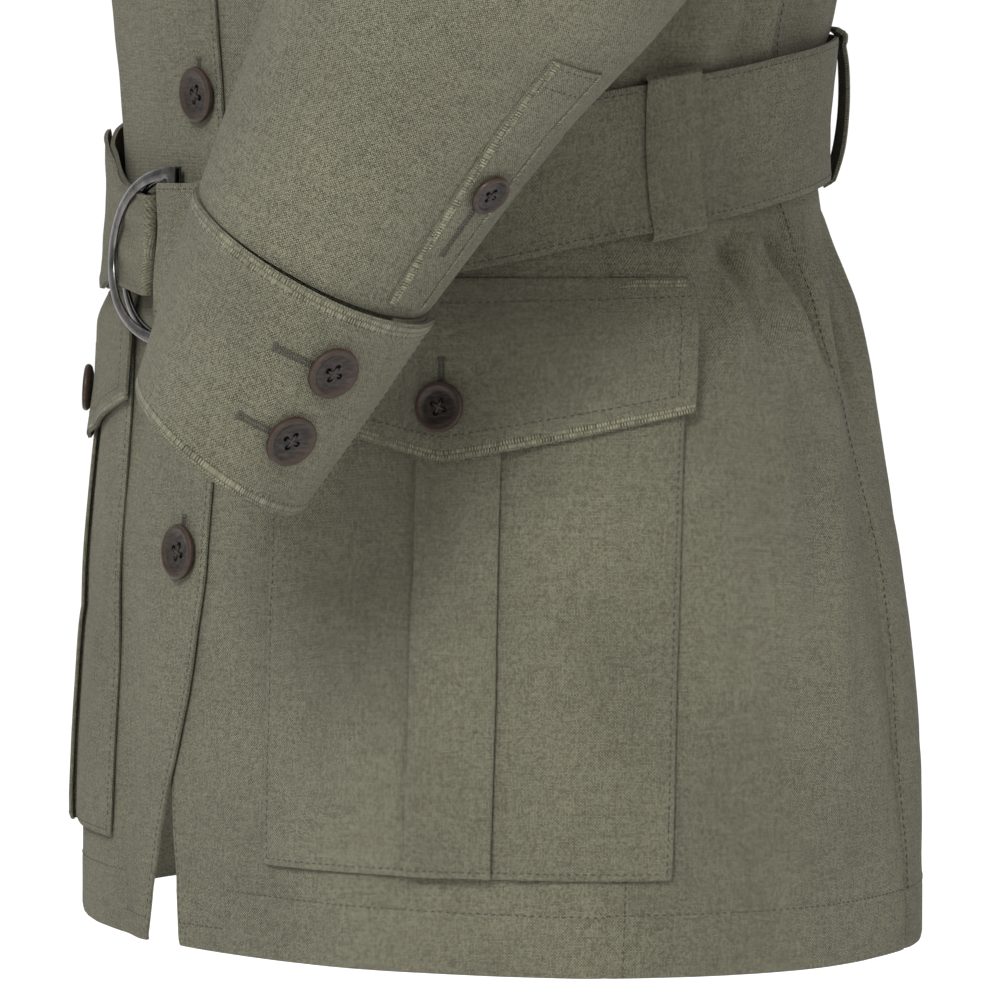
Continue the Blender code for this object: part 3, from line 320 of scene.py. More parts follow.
FOLDS = (
    Fold(3, 260, 4.5, -4.5 * MM, -0.434, -0.520),
    Fold(13, 200, 4.0, -3.8 * MM, -0.434, -0.500),
    Fold(-8, 120, 5.0, 1.4 * MM, -0.436, -0.505),
    Fold(8, 230, 3.4, 1.8 * MM, -0.434, -0.500),
    Fold(34, 60, 5.0, -4.0 * MM, -0.428, -0.560),
    Fold(45, 30, 5.5, 3.2 * MM, -0.428, -0.590),
    Fold(57, -40, 5.0, -3.6 * MM, -0.425, -0.530),
    Fold(75, 20, 6.0, 2.6 * MM, -0.425, -0.560),
    Fold(96, -30, 5.5, -3.4 * MM, -0.425, -0.545),
    Fold(112, 40, 5.0, 2.4 * MM, -0.425, -0.520),
    Fold(128, -50, 5.5, -3.8 * MM, -0.428, -0.560),
    Fold(146, -60, 5.0, 3.0 * MM, -0.430, -0.540),
    Fold(167, -220, 4.5, -4.2 * MM, -0.434, -0.510),
    Fold(179, -240, 4.0, -3.4 * MM, -0.434, -0.500),
    Fold(188, -150, 4.6, 1.4 * MM, -0.436, -0.505),
    Fold(-10, -160, 4.4, -6.0 * MM, -0.379, -0.290),
    Fold(-2, -90, 4.0, 3.0 * MM, -0.379, -0.310),
    Fold(-33, -120, 5.0, -3.0 * MM, -0.384, -0.310),
    Fold(20, 60, 4.6, -3.2 * MM, -0.372, -0.300),
    Fold(48, 40, 5.0, 3.0 * MM, -0.366, -0.280),
    Fold(64, -30, 5.0, -3.4 * MM, -0.364, -0.290),
    Fold(88, 30, 6.0, 2.6 * MM, -0.362, -0.270),
    Fold(110, -30, 5.0, -3.2 * MM, -0.364, -0.300),
    Fold(137, 40, 5.4, -3.0 * MM, -0.368, -0.290),
    Fold(163, 80, 4.6, 2.6 * MM, -0.374, -0.310),
    Fold(190, 140, 4.6, -5.0 * MM, -0.379, -0.300),
    Fold(214, 120, 5.0, -2.8 * MM, -0.384, -0.320),
    Fold(-60, 10, 9.0, 2.4 * MM, -0.560, -0.740),
    Fold(-30, -10, 8.0, 1.8 * MM, -0.600, -0.760),
    Fold(20, 12, 9.0, -2.4 * MM, -0.560, -0.740),
    Fold(52, -15, 9.0, 3.0 * MM, -0.540, -0.740),
    Fold(80, 10, 9.0, -2.4 * MM, -0.560, -0.740),
    Fold(108, -12, 9.0, 2.6 * MM, -0.540, -0.740),
    Fold(140, 14, 9.0, -2.2 * MM, -0.560, -0.740),
    Fold(172, -10, 9.0, 2.2 * MM, -0.560, -0.740),
    Fold(236, 8, 8.0, 1.8 * MM, -0.580, -0.740),
)

FRONT_LEVELS = (
    Level(0.000, -0.190, 0.1530, -0.188),
    Level(0.000, -0.155, 0.1490, -0.153),
    Level(0.000, -0.122, 0.1520, -0.120),
    Level(0.000, -0.098, 0.1610, -0.090),
    Level(0.044, -0.085, 0.1750, -0.068),
    Level(0.066, -0.050, 0.1870, -0.0565),
    Level(0.076, -0.012, 0.1935, -0.0520),
    Level(0.078, 0.010, 0.1970, -0.0500),
)
BACK_LEVELS = (
    Level(0.000, -0.185, 0.1590, -0.185),
    Level(0.000, -0.145, 0.1595, -0.150),
    Level(0.000, -0.105, 0.1630, -0.118),
    Level(0.000, -0.065, 0.1710, -0.090),
    Level(0.000, -0.030, 0.1800, -0.070),
    Level(0.000, 0.000, 0.1895, -0.0575),
    Level(0.046, 0.001, 0.1940, -0.0525),
    Level(0.078, 0.010, 0.1970, -0.0500),
)

BELT_LINE = (
    BeltLine(-120, -0.4290),
    BeltLine(-90, -0.4420),
    BeltLine(-65, -0.4330),
    BeltLine(-40, -0.4210),
    BeltLine(-8, -0.4065),
    BeltLine(25, -0.3950),
    BeltLine(50, -0.3890),
    BeltLine(90, -0.3850),
    BeltLine(130, -0.3890),
)

POCKET = (
    PocketLine(-0.6605, -73.3, -53.1, -42.4, -19.4),
    PocketLine(-0.6000, -73.5, -52.6, -41.8, -18.2),
    PocketLine(-0.5500, -73.2, -51.6, -40.5, -15.7),
    PocketLine(-0.5000, -73.0, -50.6, -39.0, -12.7),
    PocketLine(-0.4505, -72.4, -49.2, -36.8, -8.6),
)

RISES = (
    Rise(-29.5 * MM, 1.8 * MM, 1.8 * MM),
    Rise(-27.7 * MM, 5.0 * MM, 5.0 * MM),
    Rise(-25.6 * MM, 5.9 * MM, 6.6 * MM),
    Rise(-15.0 * MM, 5.9 * MM, 9.6 * MM),
    Rise(0.0 * MM, 6.2 * MM, 10.8 * MM),
    Rise(15.0 * MM, 5.9 * MM, 9.2 * MM),
    Rise(25.6 * MM, 5.9 * MM, 6.4 * MM),
    Rise(27.7 * MM, 5.0 * MM, 5.0 * MM),
    Rise(29.5 * MM, 1.8 * MM, 1.8 * MM),
)
LOOPS = (
    Loop("left_loop", -8.3, False),
    Loop("left_back_loop", 52, True),
    Loop("right_back_loop", 128, True),
    Loop("right_loop", 188.3, False),
)

POSTS = (
    Post((0.0000, -0.0005, 0.0006), (0.0000, -0.0100, 0.0360), (0.0000, 0.0105, -0.0180)),
    Post((0.0460, -0.0135, 0.0016), (0.0410, -0.0205, 0.0370), (0.0580, -0.0010, -0.0140)),
    Post((0.0625, -0.0400, 0.0064), (0.0560, -0.0440, 0.0400), (0.0840, -0.0280, -0.0040)),
    Post((0.0780, -0.0660, 0.0108), (0.0690, -0.0680, 0.0420), (0.1030, -0.0660, 0.0040)),
    Post((0.0772, -0.0823, -0.0002), (0.0690, -0.0890, 0.0270), (0.1040, -0.0880, -0.0070)),
    Post((0.0762, -0.0983, -0.0112), (0.0680, -0.1060, 0.0120), (0.1010, -0.1100, -0.0330)),
    Post((0.0712, -0.1093, -0.0300), (0.0630, -0.1170, -0.0100), (0.0960, -0.1260, -0.0600)),
    Post((0.0663, -0.1203, -0.0492), (0.0560, -0.1260, -0.0300), (0.0890, -0.1410, -0.0800)),
    Post((0.0550, -0.1285, -0.0667), (0.0460, -0.1330, -0.0470), (0.0820, -0.1540, -0.0990)),
    Post((0.0442, -0.1370, -0.0843), (0.0360, -0.1380, -0.0620), (0.0740, -0.1660, -0.1160)),
    Post((0.0220, -0.1415, -0.0888), (0.0180, -0.1405, -0.0640), (0.0660, -0.1760, -0.1320)),
    Post((0.0015, -0.1455, -0.0930), (0.0015, -0.1410, -0.0650), (0.0560, -0.1855, -0.1480)),
)

LEFT_ARM = (
    Arm(0.00, 0.1860, -0.0950, -0.1450, 0.0900, 0.0620, 0.0, 1.00, 0.00, 0.00),
    Arm(0.06, 0.2020, -0.0971, -0.1538, 0.0880, 0.0620, 0.0, 0.97, -0.15, -0.17),
    Arm(0.12, 0.2209, -0.1047, -0.1668, 0.0830, 0.0610, 0.0, 0.86, -0.33, -0.39),
    Arm(0.18, 0.2321, -0.1155, -0.1837, 0.0770, 0.0600, 0.0, 0.70, -0.47, -0.54),
    Arm(0.24, 0.2371, -0.1288, -0.2018, 0.0700, 0.0590, 0.0, 0.52, -0.58, -0.63),
    Arm(0.30, 0.2414, -0.1439, -0.2153, 0.0640, 0.0580, 0.0, 0.38, -0.64, -0.67),
    Arm(0.42, 0.2590, -0.1830, -0.2380, 0.0590, 0.0570, 0.0, 0.18, -0.68, -0.71),
    Arm(0.53, 0.2620, -0.2110, -0.2690, 0.0600, 0.0570, 0.3, -0.15, -0.59, -0.79),
    Arm(0.64, 0.2476, -0.2291, -0.2994, 0.0615, 0.0560, 1.0, -0.52, -0.38, -0.77),
    Arm(0.76, 0.2196, -0.2416, -0.3311, 0.0622, 0.0530, 1.0, -0.60, -0.27, -0.75),
    Arm(0.87, 0.1902, -0.2544, -0.3711, 0.0555, 0.0510, 1.0, -0.50, -0.26, -0.83),
    Arm(1.00, 0.1542, -0.2753, -0.4393, 0.0440, 0.0465, 1.0, -0.45, -0.26, -0.85),
)
LEFT_CUFF = Arm(1.20, 0.1256, -0.2959, -0.5057, 0.0335, 0.0455, 1.0, -0.38, -0.27, -0.88)
RIGHT_ARM = (
    Arm(0.00, 0.1860, -0.0950, -0.1450, 0.0900, 0.0620, 0.0, 1.00, 0.00, 0.00),
    Arm(0.06, 0.2023, -0.0960, -0.1538, 0.0880, 0.0615, 0.0, 0.985, 0.00, -0.17),
    Arm(0.12, 0.2222, -0.0960, -0.1682, 0.0820, 0.0610, 0.0, 0.906, 0.00, -0.42),
    Arm(0.18, 0.2375, -0.0940, -0.1905, 0.0740, 0.0600, 0.0, 0.743, 0.02, -0.67),
    Arm(0.24, 0.2428, -0.0900, -0.2161, 0.0640, 0.0590, 0.0, 0.530, 0.05, -0.85),
    Arm(0.32, 0.2433, -0.0830, -0.2434, 0.0565, 0.0585, 0.0, 0.276, 0.12, -0.95),
    Arm(0.40, 0.2423, -0.0740, -0.2755, 0.0520, 0.0575, 0.0, 0.087, 0.20, -0.97),
    Arm(0.52, 0.2410, -0.0620, -0.3200, 0.0500, 0.0540, 0.4, -0.020, 0.20, -0.98),
    Arm(0.66, 0.2400, -0.0510, -0.3800, 0.0540, 0.0455, 1.0, -0.020, 0.10, -0.99),
    Arm(0.82, 0.2405, -0.0460, -0.4430, 0.0510, 0.0425, 1.0, 0.000, -0.02, -1.00),
    Arm(1.00, 0.2425, -0.0510, -0.5115, 0.0470, 0.0400, 1.0, 0.020, -0.10, -0.99),
)
RIGHT_CUFF = Arm(1.20, 0.2445, -0.0600, -0.5855, 0.0440, 0.0375, 1.0, 0.026, -0.12, -0.99)
LEFT_CREASES = (
    Crease(0.50, 205, 0.040, 55, -4.5 * MM),
    Crease(0.58, 190, 0.035, 60, -5.0 * MM),
    Crease(0.66, 215, 0.035, 50, -3.5 * MM),
    Crease(0.44, 20, 0.050, 45, 2.5 * MM),
    Crease(0.28, 190, 0.045, 50, -3.5 * MM),
    Crease(0.78, 150, 0.050, 40, -2.5 * MM),
)
RIGHT_CREASES = (
    Crease(0.54, 60, 0.030, 55, -3.2 * MM),
    Crease(0.61, 80, 0.030, 60, -3.8 * MM),
    Crease(0.68, 50, 0.030, 50, -2.6 * MM),
    Crease(0.40, 160, 0.050, 45, -2.4 * MM),
    Crease(0.85, 250, 0.050, 45, -2.0 * MM),
)

FRONT_BUTTONS = (
    Spot(4.0 * MM, -0.551, 0.0 * MM),
    Spot(9.5 * MM, -0.385, 0.5 * MM),
    Spot(8.5 * MM, -0.297, 0.5 * MM),
    Spot(7.0 * MM, -0.209, -0.2 * MM),
    Spot(6.0 * MM, -0.131, 0.5 * MM),
)
FRONT_BUTTON = Button(10.2 * MM, 3.4 * MM)
POCKET_BUTTON = Button(9.0 * MM, 3.2 * MM)
CUFF_BUTTON = Button(9.2 * MM, 3.2 * MM)
PLACKET_BUTTON = Button(7.4 * MM, 2.8 * MM)
RINGS = (
    Ring("rear_ring", 5.25 * MM, 5.85 * MM),
    Ring("front_ring", 7.30 * MM, 11.00 * MM),
)

# Finer creases of the body's cloth, over the folds that its solids have: widths and depths in millimetres
WRINKLES = tuple(
    Wrinkle(angle, z, end_angle, end_z, width * MM, depth * MM)
    for angle, z, end_angle, end_z, width, depth in (
        (2.0, -0.436, 6.0, -0.470, 5.0, -5.8),
        (-2.0, -0.436, 2.5, -0.476, 4.0, 1.2),
        (9.0, -0.434, 17.0, -0.486, 5.0, 3.3),
        (13.0, -0.433, 24.0, -0.490, 5.0, -5.1),
        (19.0, -0.430, 31.0, -0.475, 4.0, 3.0),
        (25.0, -0.430, 38.0, -0.520, 6.0, -5.8),
        (-4.0, -0.440, -7.0, -0.530, 7.0, -0.9),
        (6.0, -0.470, 2.0, -0.585, 9.0, 2.1),
        (-10.5, -0.436, -11.5, -0.470, 5.0, -0.9),
        (-16.0, -0.434, -17.0, -0.452, 5.0, 0.7),
        (17.0, -0.500, 10.0, -0.640, 10.0, 1.9),
        (24.0, -0.520, 30.0, -0.660, 9.0, -2.5),
        (-3.0, -0.378, -9.0, -0.345, 4.0, -1.4),
        (-12.0, -0.380, -8.0, -0.320, 5.0, 1.3),
        (4.0, -0.376, 10.0, -0.330, 5.0, -1.2),
        (13.0, -0.374, 12.0, -0.310, 6.0, 1.1),
        (24.0, -0.371, 30.0, -0.315, 6.0, -1.3),
        (36.0, -0.366, 33.0, -0.300, 6.0, 1.2),
        (41.0, -0.432, 38.0, -0.500, 6.0, -3.9),
        (50.0, -0.430, 53.0, -0.540, 7.0, -3.2),
        (62.0, -0.428, 58.0, -0.510, 6.0, 1.3),
        (70.0, -0.426, 72.0, -0.480, 5.0, -1.2),
        (84.0, -0.426, 88.0, -0.520, 7.0, 1.0),
        (91.0, -0.426, 93.0, -0.480, 5.0, -1.0),
        (104.0, -0.426, 101.0, -0.500, 6.0, -1.3),
        (119.0, -0.428, 123.0, -0.520, 7.0, 1.1),
        (136.0, -0.430, 133.0, -0.480, 5.0, -1.1),
        (154.0, -0.432, 148.0, -0.520, 6.0, 1.3),
        (161.0, -0.434, 155.0, -0.500, 5.0, -1.4),
        (176.0, -0.436, 171.0, -0.480, 5.0, 1.3),
        (184.0, -0.438, 180.0, -0.520, 6.0, -1.0),
        (46.0, -0.364, 44.0, -0.300, 6.0, -1.2),
        (57.0, -0.362, 60.0, -0.290, 7.0, 1.1),
        (76.0, -0.361, 72.0, -0.280, 7.0, -1.1),
        (97.0, -0.361, 103.0, -0.300, 6.0, 1.2),
        (118.0, -0.363, 122.0, -0.290, 7.0, -1.0),
        (131.0, -0.366, 127.0, -0.310, 5.0, 1.1),
        (150.0, -0.370, 156.0, -0.320, 6.0, -1.2),
        (173.0, -0.376, 177.0, -0.330, 5.0, 1.1),
        (183.0, -0.378, 188.0, -0.340, 5.0, -1.3),
        (195.0, -0.382, 199.0, -0.330, 6.0, 1.0),
        (-44.0, -0.392, -50.0, -0.330, 8.0, -1.0),
        (-58.0, -0.402, -62.0, -0.350, 7.0, 0.9),
        (-78.0, -0.412, -74.0, -0.360, 7.0, -0.8),
        (222.0, -0.392, 228.0, -0.330, 8.0, -1.0),
        (240.0, -0.402, 243.0, -0.350, 7.0, 0.9),
        (-82.0, -0.470, -79.0, -0.540, 6.0, -0.9),
        (-98.0, -0.475, -101.0, -0.560, 7.0, 0.9),
        (-86.0, -0.560, -80.0, -0.680, 10.0, 1.2),
        (-97.0, -0.580, -102.0, -0.690, 10.0, -1.2),
        (34.0, -0.560, 40.0, -0.680, 12.0, 2.3),
        (66.0, -0.560, 62.0, -0.690, 12.0, -1.2),
        (94.0, -0.540, 98.0, -0.680, 12.0, 1.2),
        (124.0, -0.560, 120.0, -0.690, 12.0, -1.1),
        (158.0, -0.560, 163.0, -0.680, 12.0, 1.1),
    )
)


def between(table: Sequence, key: float) -> tuple:
    """The row of a table at a key, on a smooth curve through its rows.

    Args:
        table: Named tuples ordered by their first column.
        key: The value of the first column that is wanted.

    Returns:
        A row of the same kind, or a plain tuple for a table of plain tuples.
    """
    index = 0
    while index < len(table) - 2 and key > table[index + 1][0]:
        index += 1
    low, high = table[index], table[index + 1]
    before, after = table[max(index - 1, 0)], table[min(index + 2, len(table) - 1)]
    span = high[0] - low[0]
    t = min(max((key - low[0]) / span, 0), 1)
    values = [key]
    for column in range(1, len(low)):
        slope_low = (high[column] - before[column]) / (high[0] - before[0]) * span
        slope_high = (after[column] - low[column]) / (after[0] - low[0]) * span
        step = high[column] - low[column]
        cubic = slope_low + slope_high - 2 * step
        square = 3 * step - 2 * slope_low - slope_high
        values.append(low[column] + t * (slope_low + t * (square + t * cubic)))
    return type(low)(*values) if hasattr(low, "_fields") else tuple(values)


def straight(values: Sequence[float], at: float) -> float:
    """The value at a place along a list of values, straight between its entries."""
    index = min(max(int(at), 0), len(values) - 2)
    return values[index] + (values[index + 1] - values[index]) * (at - index)


def ease(value: float) -> float:
    """A smooth rise from 0 to 1."""
    value = min(max(value, 0.0), 1.0)
    return value * value * (3 - 2 * value)


def bell(distance: float, reach: float) -> float:
    """1 at no distance, falling away smoothly about a reach from there."""
    return math.exp(-((distance / reach) ** 2))


def turn_between(angle: float, other: float) -> float:
    """The signed turn from one angle to another, in degrees."""
    return (angle - other + 180) % 360 - 180


def steps(first: float, last: float, count: int) -> list[float]:
    """Evenly spaced values from first to last, in that many steps."""
    return [first + (last - first) * index / count for index in range(count + 1)]


def crowded(count: int, edges: Iterable[float] = (0.004, 0.010, 0.018)) -> list[float]:
    """Shares from 0 to 1 in that many steps, with more of them by both ends."""
    inner = [share for share in steps(0, 1, count) if 0.026 < share < 0.974]
    near = list(edges)
    return [0.0, *near, *inner, *[1 - share for share in reversed(near)], 1.0]


def mirrored(sign: int, point: Vector) -> Vector:
    """The point, or its twin across the middle of the jacket."""
    return point if sign > 0 else Vector((-point.x, point.y, point.z))


@functools.lru_cache(maxsize=8192)
def section_at(z: float) -> Section:
    """The body's plan section at a height."""
    return between(SECTIONS, z)


@functools.lru_cache(maxsize=8192)
def folds_near(z: float) -> tuple[tuple[float, float, float], ...]:
    """The folds that cross a height, each as its angle there, its width and its height there."""
    found = []
    for fold in FOLDS:
        along = (z - fold.z_start) / (fold.z_end - fold.z_start)
        if 0 <= along <= 1:
            swell = math.sin(math.pi * along**FOLD_EARLY)
            found.append((fold.angle + fold.lean * (z - fold.z_start), fold.width, fold.height * swell))
    return tuple(found)


@functools.lru_cache(maxsize=8192)
def wrinkles_near(z: float) -> tuple[Wrinkle, ...]:
    """The wrinkles that reach a height."""
    return tuple(
        line
        for line in WRINKLES
        if min(line.z, line.end_z) - WRINKLE_REACH < z < max(line.z, line.end_z) + WRINKLE_REACH
    )


class Form:
    """The filled-out body that the panels are cut to and everything sewn on them is laid over."""

    def folds(self, angle: float, z: float) -> float:
        """How far the solids' own folds raise the cloth at an angle and a height."""
        raised = 0.0
        for middle, width, height in folds_near(z):
            away = turn_between(angle, middle) / width
            if abs(away) < 3:
                raised += height * math.exp(-away * away)
        return raised

    def wrinkles(self, angle: float, z: float) -> float:
        """How far the finer creases and the cloth's own unevenness raise it."""
        raised = 0.0
        for line in wrinkles_near(z):
            run = Vector((turn_between(line.end_angle, line.angle) * WAIST_ARC, line.end_z - line.z))
            away = Vector((turn_between(angle, line.angle) * WAIST_ARC, z - line.z))
            along = away.dot(run) / run.length_squared
            if not -WRINKLE_PAST < along < 1 + WRINKLE_PAST:
                continue
            beside = (run.x * away.y - run.y * away.x) / run.length / line.width
            if abs(beside) < 3:
                fade = ease((along + WRINKLE_PAST) / WRINKLE_IN) * ease((1 + WRINKLE_PAST - along) / WRINKLE_OUT)
                raised += line.depth * fade * math.exp(-beside * beside)
        spot = Vector((math.cos(math.radians(angle)) * 5.2, math.sin(math.radians(angle)) * 5.2, z * 24))
        return raised + UNEVEN * noise.noise(spot) + UNEVEN_FINE * noise.noise(spot * 2.7)

    def body(self, angle: float, z: float, out: float = 0.0, folded: bool = True) -> Vector:
        """A point on the body, moved out along the plan normal.

        Args:
            angle: Degrees round the body.
            z: The height.
            out: How far the point stands off.
            folded: Whether it follows the folds.

        Returns:
            The point.
        """
        section = section_at(z)
        turn = math.radians(angle)
        depth = section.front if math.sin(turn) < 0 else section.back
        normal = Vector((math.cos(turn) / section.half_width, math.sin(turn) / depth, 0)).normalized()
        if folded:
            out += self.folds(angle, z) + self.wrinkles(angle, z)
        point = Vector((section.half_width * math.cos(turn), section.centre_y + depth * math.sin(turn), z))
        return point + normal * out

    def shoulder_z(self, x: float) -> float:
        """The height of the shoulder seam, or of the neck's rise inside it."""
        x = abs(x)
        if x < NECK_POINT[0]:
            return NECK_POINT[1] + NECK_RISE * (NECK_POINT[0] - x)
        slope = (SHOULDER_TIP[1] - NECK_POINT[1]) / (SHOULDER_TIP[0] - NECK_POINT[0])
        return NECK_POINT[1] + slope * (x - NECK_POINT[0])

    def yoke(self, x: float, z: float, facing: int, out: float = 0.0) -> Vector:
        """A point of the upper front (facing -1) or upper back (facing 1), rolling over into the shoulder seam."""
        section = section_at(z)
        depth = section.front if facing < 0 else section.back
        level = math.sqrt(max(1 - (x / section.half_width) ** 2, 0.02))
        down = min(max((self.shoulder_z(x) - z) / SHOULDER_ROUND, 0), 1)
        roll = math.sqrt(1 - (1 - down) ** 2)
        low = max(down, 0.06)
        reach = section.centre_y + facing * depth * level - SHOULDER_Y
        y = SHOULDER_Y + reach * roll + facing * SEAM / 2 * (1 - roll)
        lift = Vector((x / section.half_width * 0.6, facing * roll, 1.1 * (1 - low) ** 2)).normalized()
        wave = noise.noise(Vector((x * 22, facing * 3.0, z * 18))) * YOKE_UNEVEN * roll
        return Vector((x, y, z)) + lift * (out + wave)

    def front_point(self, x: float, z: float, out: float) -> Vector:
        """A point on the fronts by its distance to the left of the middle and its height."""
        if z > SEAM_TOP_Z:
            return self.yoke(x, z, -1, out)
        return self.body(-90 + math.degrees(math.asin(x / section_at(z).half_width)), z, out)

    def over_folds(self, side: int, angle: float, z: float, out: float) -> Vector:
        """A point over the left or right of the body that rides over raised folds and bridges sunk ones."""
        angle = angle if side > 0 else 180 - angle
        raised = max(self.folds(angle + away, z) for away in (-4, 0, 4))
        return self.body(angle, z, out + max(raised, 0), False)

    def belt_z(self, angle: float) -> float:
        """The height of the belt's middle at an angle."""
        return between(BELT_LINE, 90 - abs(turn_between(angle, 90))).z


FORM = Form()
Place = Callable[[float, float, float], Vector]


class Held(Enum):
    """How a sheet of cloth is held."""

    DRAPED = "draped"
    STRETCHED = "stretched"
    FOLDED = "folded"


@dataclass
class Sheet:
    """A sheet of cloth laid over a surface: a grid of places, made a thin shell.

    Its UV map is the distance along the cloth in metres, and its "pucker" attribute is strong along the
    edges that are stitched.
    """

    name: str
    place: Place
    across: Sequence[float]
    up: Sequence[float]
    wall: float
    anchor: float = 0.0
    closed: bool = False
    stitched: str = ""
    inset: float = 6 * MM
    grain: float = 0.0
    areas: float = field(default=0.0, init=False)
    width: float = field(default=0.0, init=False)
    length: float = field(default=0.0, init=False)

    def measure(self, points: list[list[Vector]]) -> tuple[list[list[float]], list[float]]:
        """The distances along the cloth, across each row from the anchor and up the anchor's column.

        Args:
            points: The places of the grid, row by row.

        Returns:
            The distances across for each point, and the distances up for each row.
        """
        origin = min(range(len(self.across)), key=lambda index: abs(self.across[index] - self.anchor))
        rows = []
        for row in points:
            total = [0.0]
            for before, after in zip(row, row[1:]):
                total.append(total[-1] + (after - before).length)
            rows.append([value - total[origin] for value in total])
            self.width = max(self.width, total[-1])
        heights = [0.0]
        for before, after in zip(points, points[1:]):
            heights.append(heights[-1] + (after[origin] - before[origin]).length)
        for column in range(len(self.across)):
            run = sum((after[column] - before[column]).length for before, after in zip(points, points[1:]))
            self.length = max(self.length, run)
        return rows, heights

    def pucker(self, x: float, y: float, row: list[float], heights: list[float]) -> float:
        """How strongly the cloth puckers at a point, from its distance to the stitched edges."""
        gaps = {"l": x - row[0], "r": row[-1] - x, "b": y - heights[0], "t": heights[-1] - y}
        found = [gaps[edge] for edge in self.stitched]
        return max((bell(gap - self.inset, 7 * MM) for gap in found), default=0.0)

    def lay(self, mesh: bmesh.types.BMesh) -> None:
        """Adds the sheet's single layer to a mesh."""
        uv = mesh.loops.layers.uv.verify()
        tight = mesh.verts.layers.float.get("pucker") or mesh.verts.layers.float.new("pucker")
        points = [[self.place(u, v, 0.0) for u in self.across] for v in self.up]
        rows, heights = self.measure(points)
        columns, levels = len(self.across) - 1, len(self.up) - 1
        made = bmesh.ops.create_grid(mesh, x_segments=columns, y_segments=levels, size=0.5)["verts"]
        xs = [vert.co.x for vert in made]
        ys = [vert.co.y for vert in made]
        left, low = min(xs), min(ys)
        wide, tall = max(xs) - left, max(ys) - low
        spots = {}
        for vert, x, y in zip(made, xs, ys):
            spots[vert] = (round((x - left) / wide * columns), round((y - low) / tall * levels))
        faces = list(dict.fromkeys(face for vert in made for face in vert.link_faces))
        for vert, (column, row) in spots.items():
            vert.co = points[row][column]
            vert[tight] = self.pucker(rows[row][column], heights[row], rows[row], heights)
        for face in faces:
            for loop in face.loops:
                column, row = spots[loop.vert]
                loop[uv].uv = (rows[row][column] + self.grain, heights[row] + self.grain)
            self.areas += face.calc_area()
        middle_u, middle_v = self.across[columns // 2], self.up[levels // 2]
        out = self.place(middle_u, middle_v, MM) - self.place(middle_u, middle_v, 0.0)
        seen = min(faces, key=lambda face: (face.calc_center_median() - points[levels // 2][columns // 2]).length)
        seen.normal_update()
        if seen.normal.dot(out) < 0:
            bmesh.ops.reverse_faces(mesh, faces=faces)


class Maker:
    """Turns meshes into finished pieces that ride on the jacket's one body."""

    def __init__(self) -> None:
        """Starts an empty wardrobe of pieces."""
        self.pieces: list[bpy.types.Object] = []

    def finish(
        self, name: str, shape: bmesh.types.BMesh, finish: "Finish", nodes: Sequence[str] = (), sharp: float = 40.0
    ) -> bpy.types.Object:
        """Makes a piece of a mesh.

        Args:
            name: The piece's name.
            shape: Its mesh, which is freed.
            finish: Its material.
            nodes: The solids that it stands for.
            sharp: Edges past this angle, in degrees, stay crisp.

        Returns:
            The piece.
        """
        data = bpy.data.meshes.new(name)
        shape.to_mesh(data)
        shape.free()
        data.shade_smooth()
        data.set_sharp_from_angle(angle=math.radians(sharp))
        piece = bpy.data.objects.new(name, data)
        bpy.context.scene.collection.objects.link(piece)
        data.materials.append(finish.material())
        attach(piece, ROOT)
        if nodes:
            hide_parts(*nodes)
        self.pieces.append(piece)
        log.info("%s: %d faces", name, len(data.polygons))
        return piece

    def turn_weave_in(self, shell: bmesh.types.BMesh, outer: int, wall: float) -> None:
        """Carries the weave round a shell's rim, which would else be drawn out into bars.

        Args:
            shell: The shell, its outer layer's points first.
            outer: How many points the outer layer has.
            wall: The cloth's thickness.
        """
        uv = shell.loops.layers.uv.verify()
        for face in shell.faces:
            inner = [loop for loop in face.loops if loop.vert.index >= outer]
            if inner and len(inner) < len(face.loops):
                for loop in inner:
                    loop[uv].uv += Vector((wall, wall))

    def cloth(
        self,
        sheets: Sequence[Sheet],
        finish: "Finish",
        nodes: Sequence[str],
        held: Held = Held.DRAPED,
    ) -> bpy.types.Object:
        """Makes a piece of one or more joined sheets, with its thickness, and says how it was cut.

        Args:
            sheets: The sheets, all of one wall.
            finish: Their material.
            nodes: The solids that the piece stands for.
            held: How the cloth is held; not used.

        Returns:
            The piece.
        """
        shape = bmesh.new()
        for sheet in sheets:
            sheet.lay(shape)
        if len(sheets) > 1 or sheets[0].closed:
            bmesh.ops.remove_doubles(shape, verts=shape.verts, dist=0.01 * MM)
        data = bpy.data.meshes.new(sheets[0].name + "_layer")
        shape.to_mesh(data)
        shape.free()
        layer = bpy.data.objects.new(sheets[0].name + "_layer", data)
        bpy.context.scene.collection.objects.link(layer)
        wall = layer.modifiers.new("wall", "SOLIDIFY")
        wall.thickness = sheets[0].wall
        wall.offset = -1.0
        bpy.context.view_layer.update()
        shell = bmesh.new()
        solid = layer.evaluated_get(bpy.context.evaluated_depsgraph_get()).to_mesh()
        shell.from_mesh(solid)
        self.turn_weave_in(shell, len(data.vertices), sheets[0].wall)
        bpy.data.objects.remove(layer)
        bpy.data.meshes.remove(data)
        piece = self.finish(sheets[0].name, shell, finish, nodes)
        width = sum(sheet.width for sheet in sheets)
        length = max(sheet.length for sheet in sheets)
        area = sum(sheet.areas for sheet in sheets)
        log.info("%s: cut %.3f x %.3f m, %.4f m2", piece.name, width, length, area)
        return piece


MAKER = Maker()


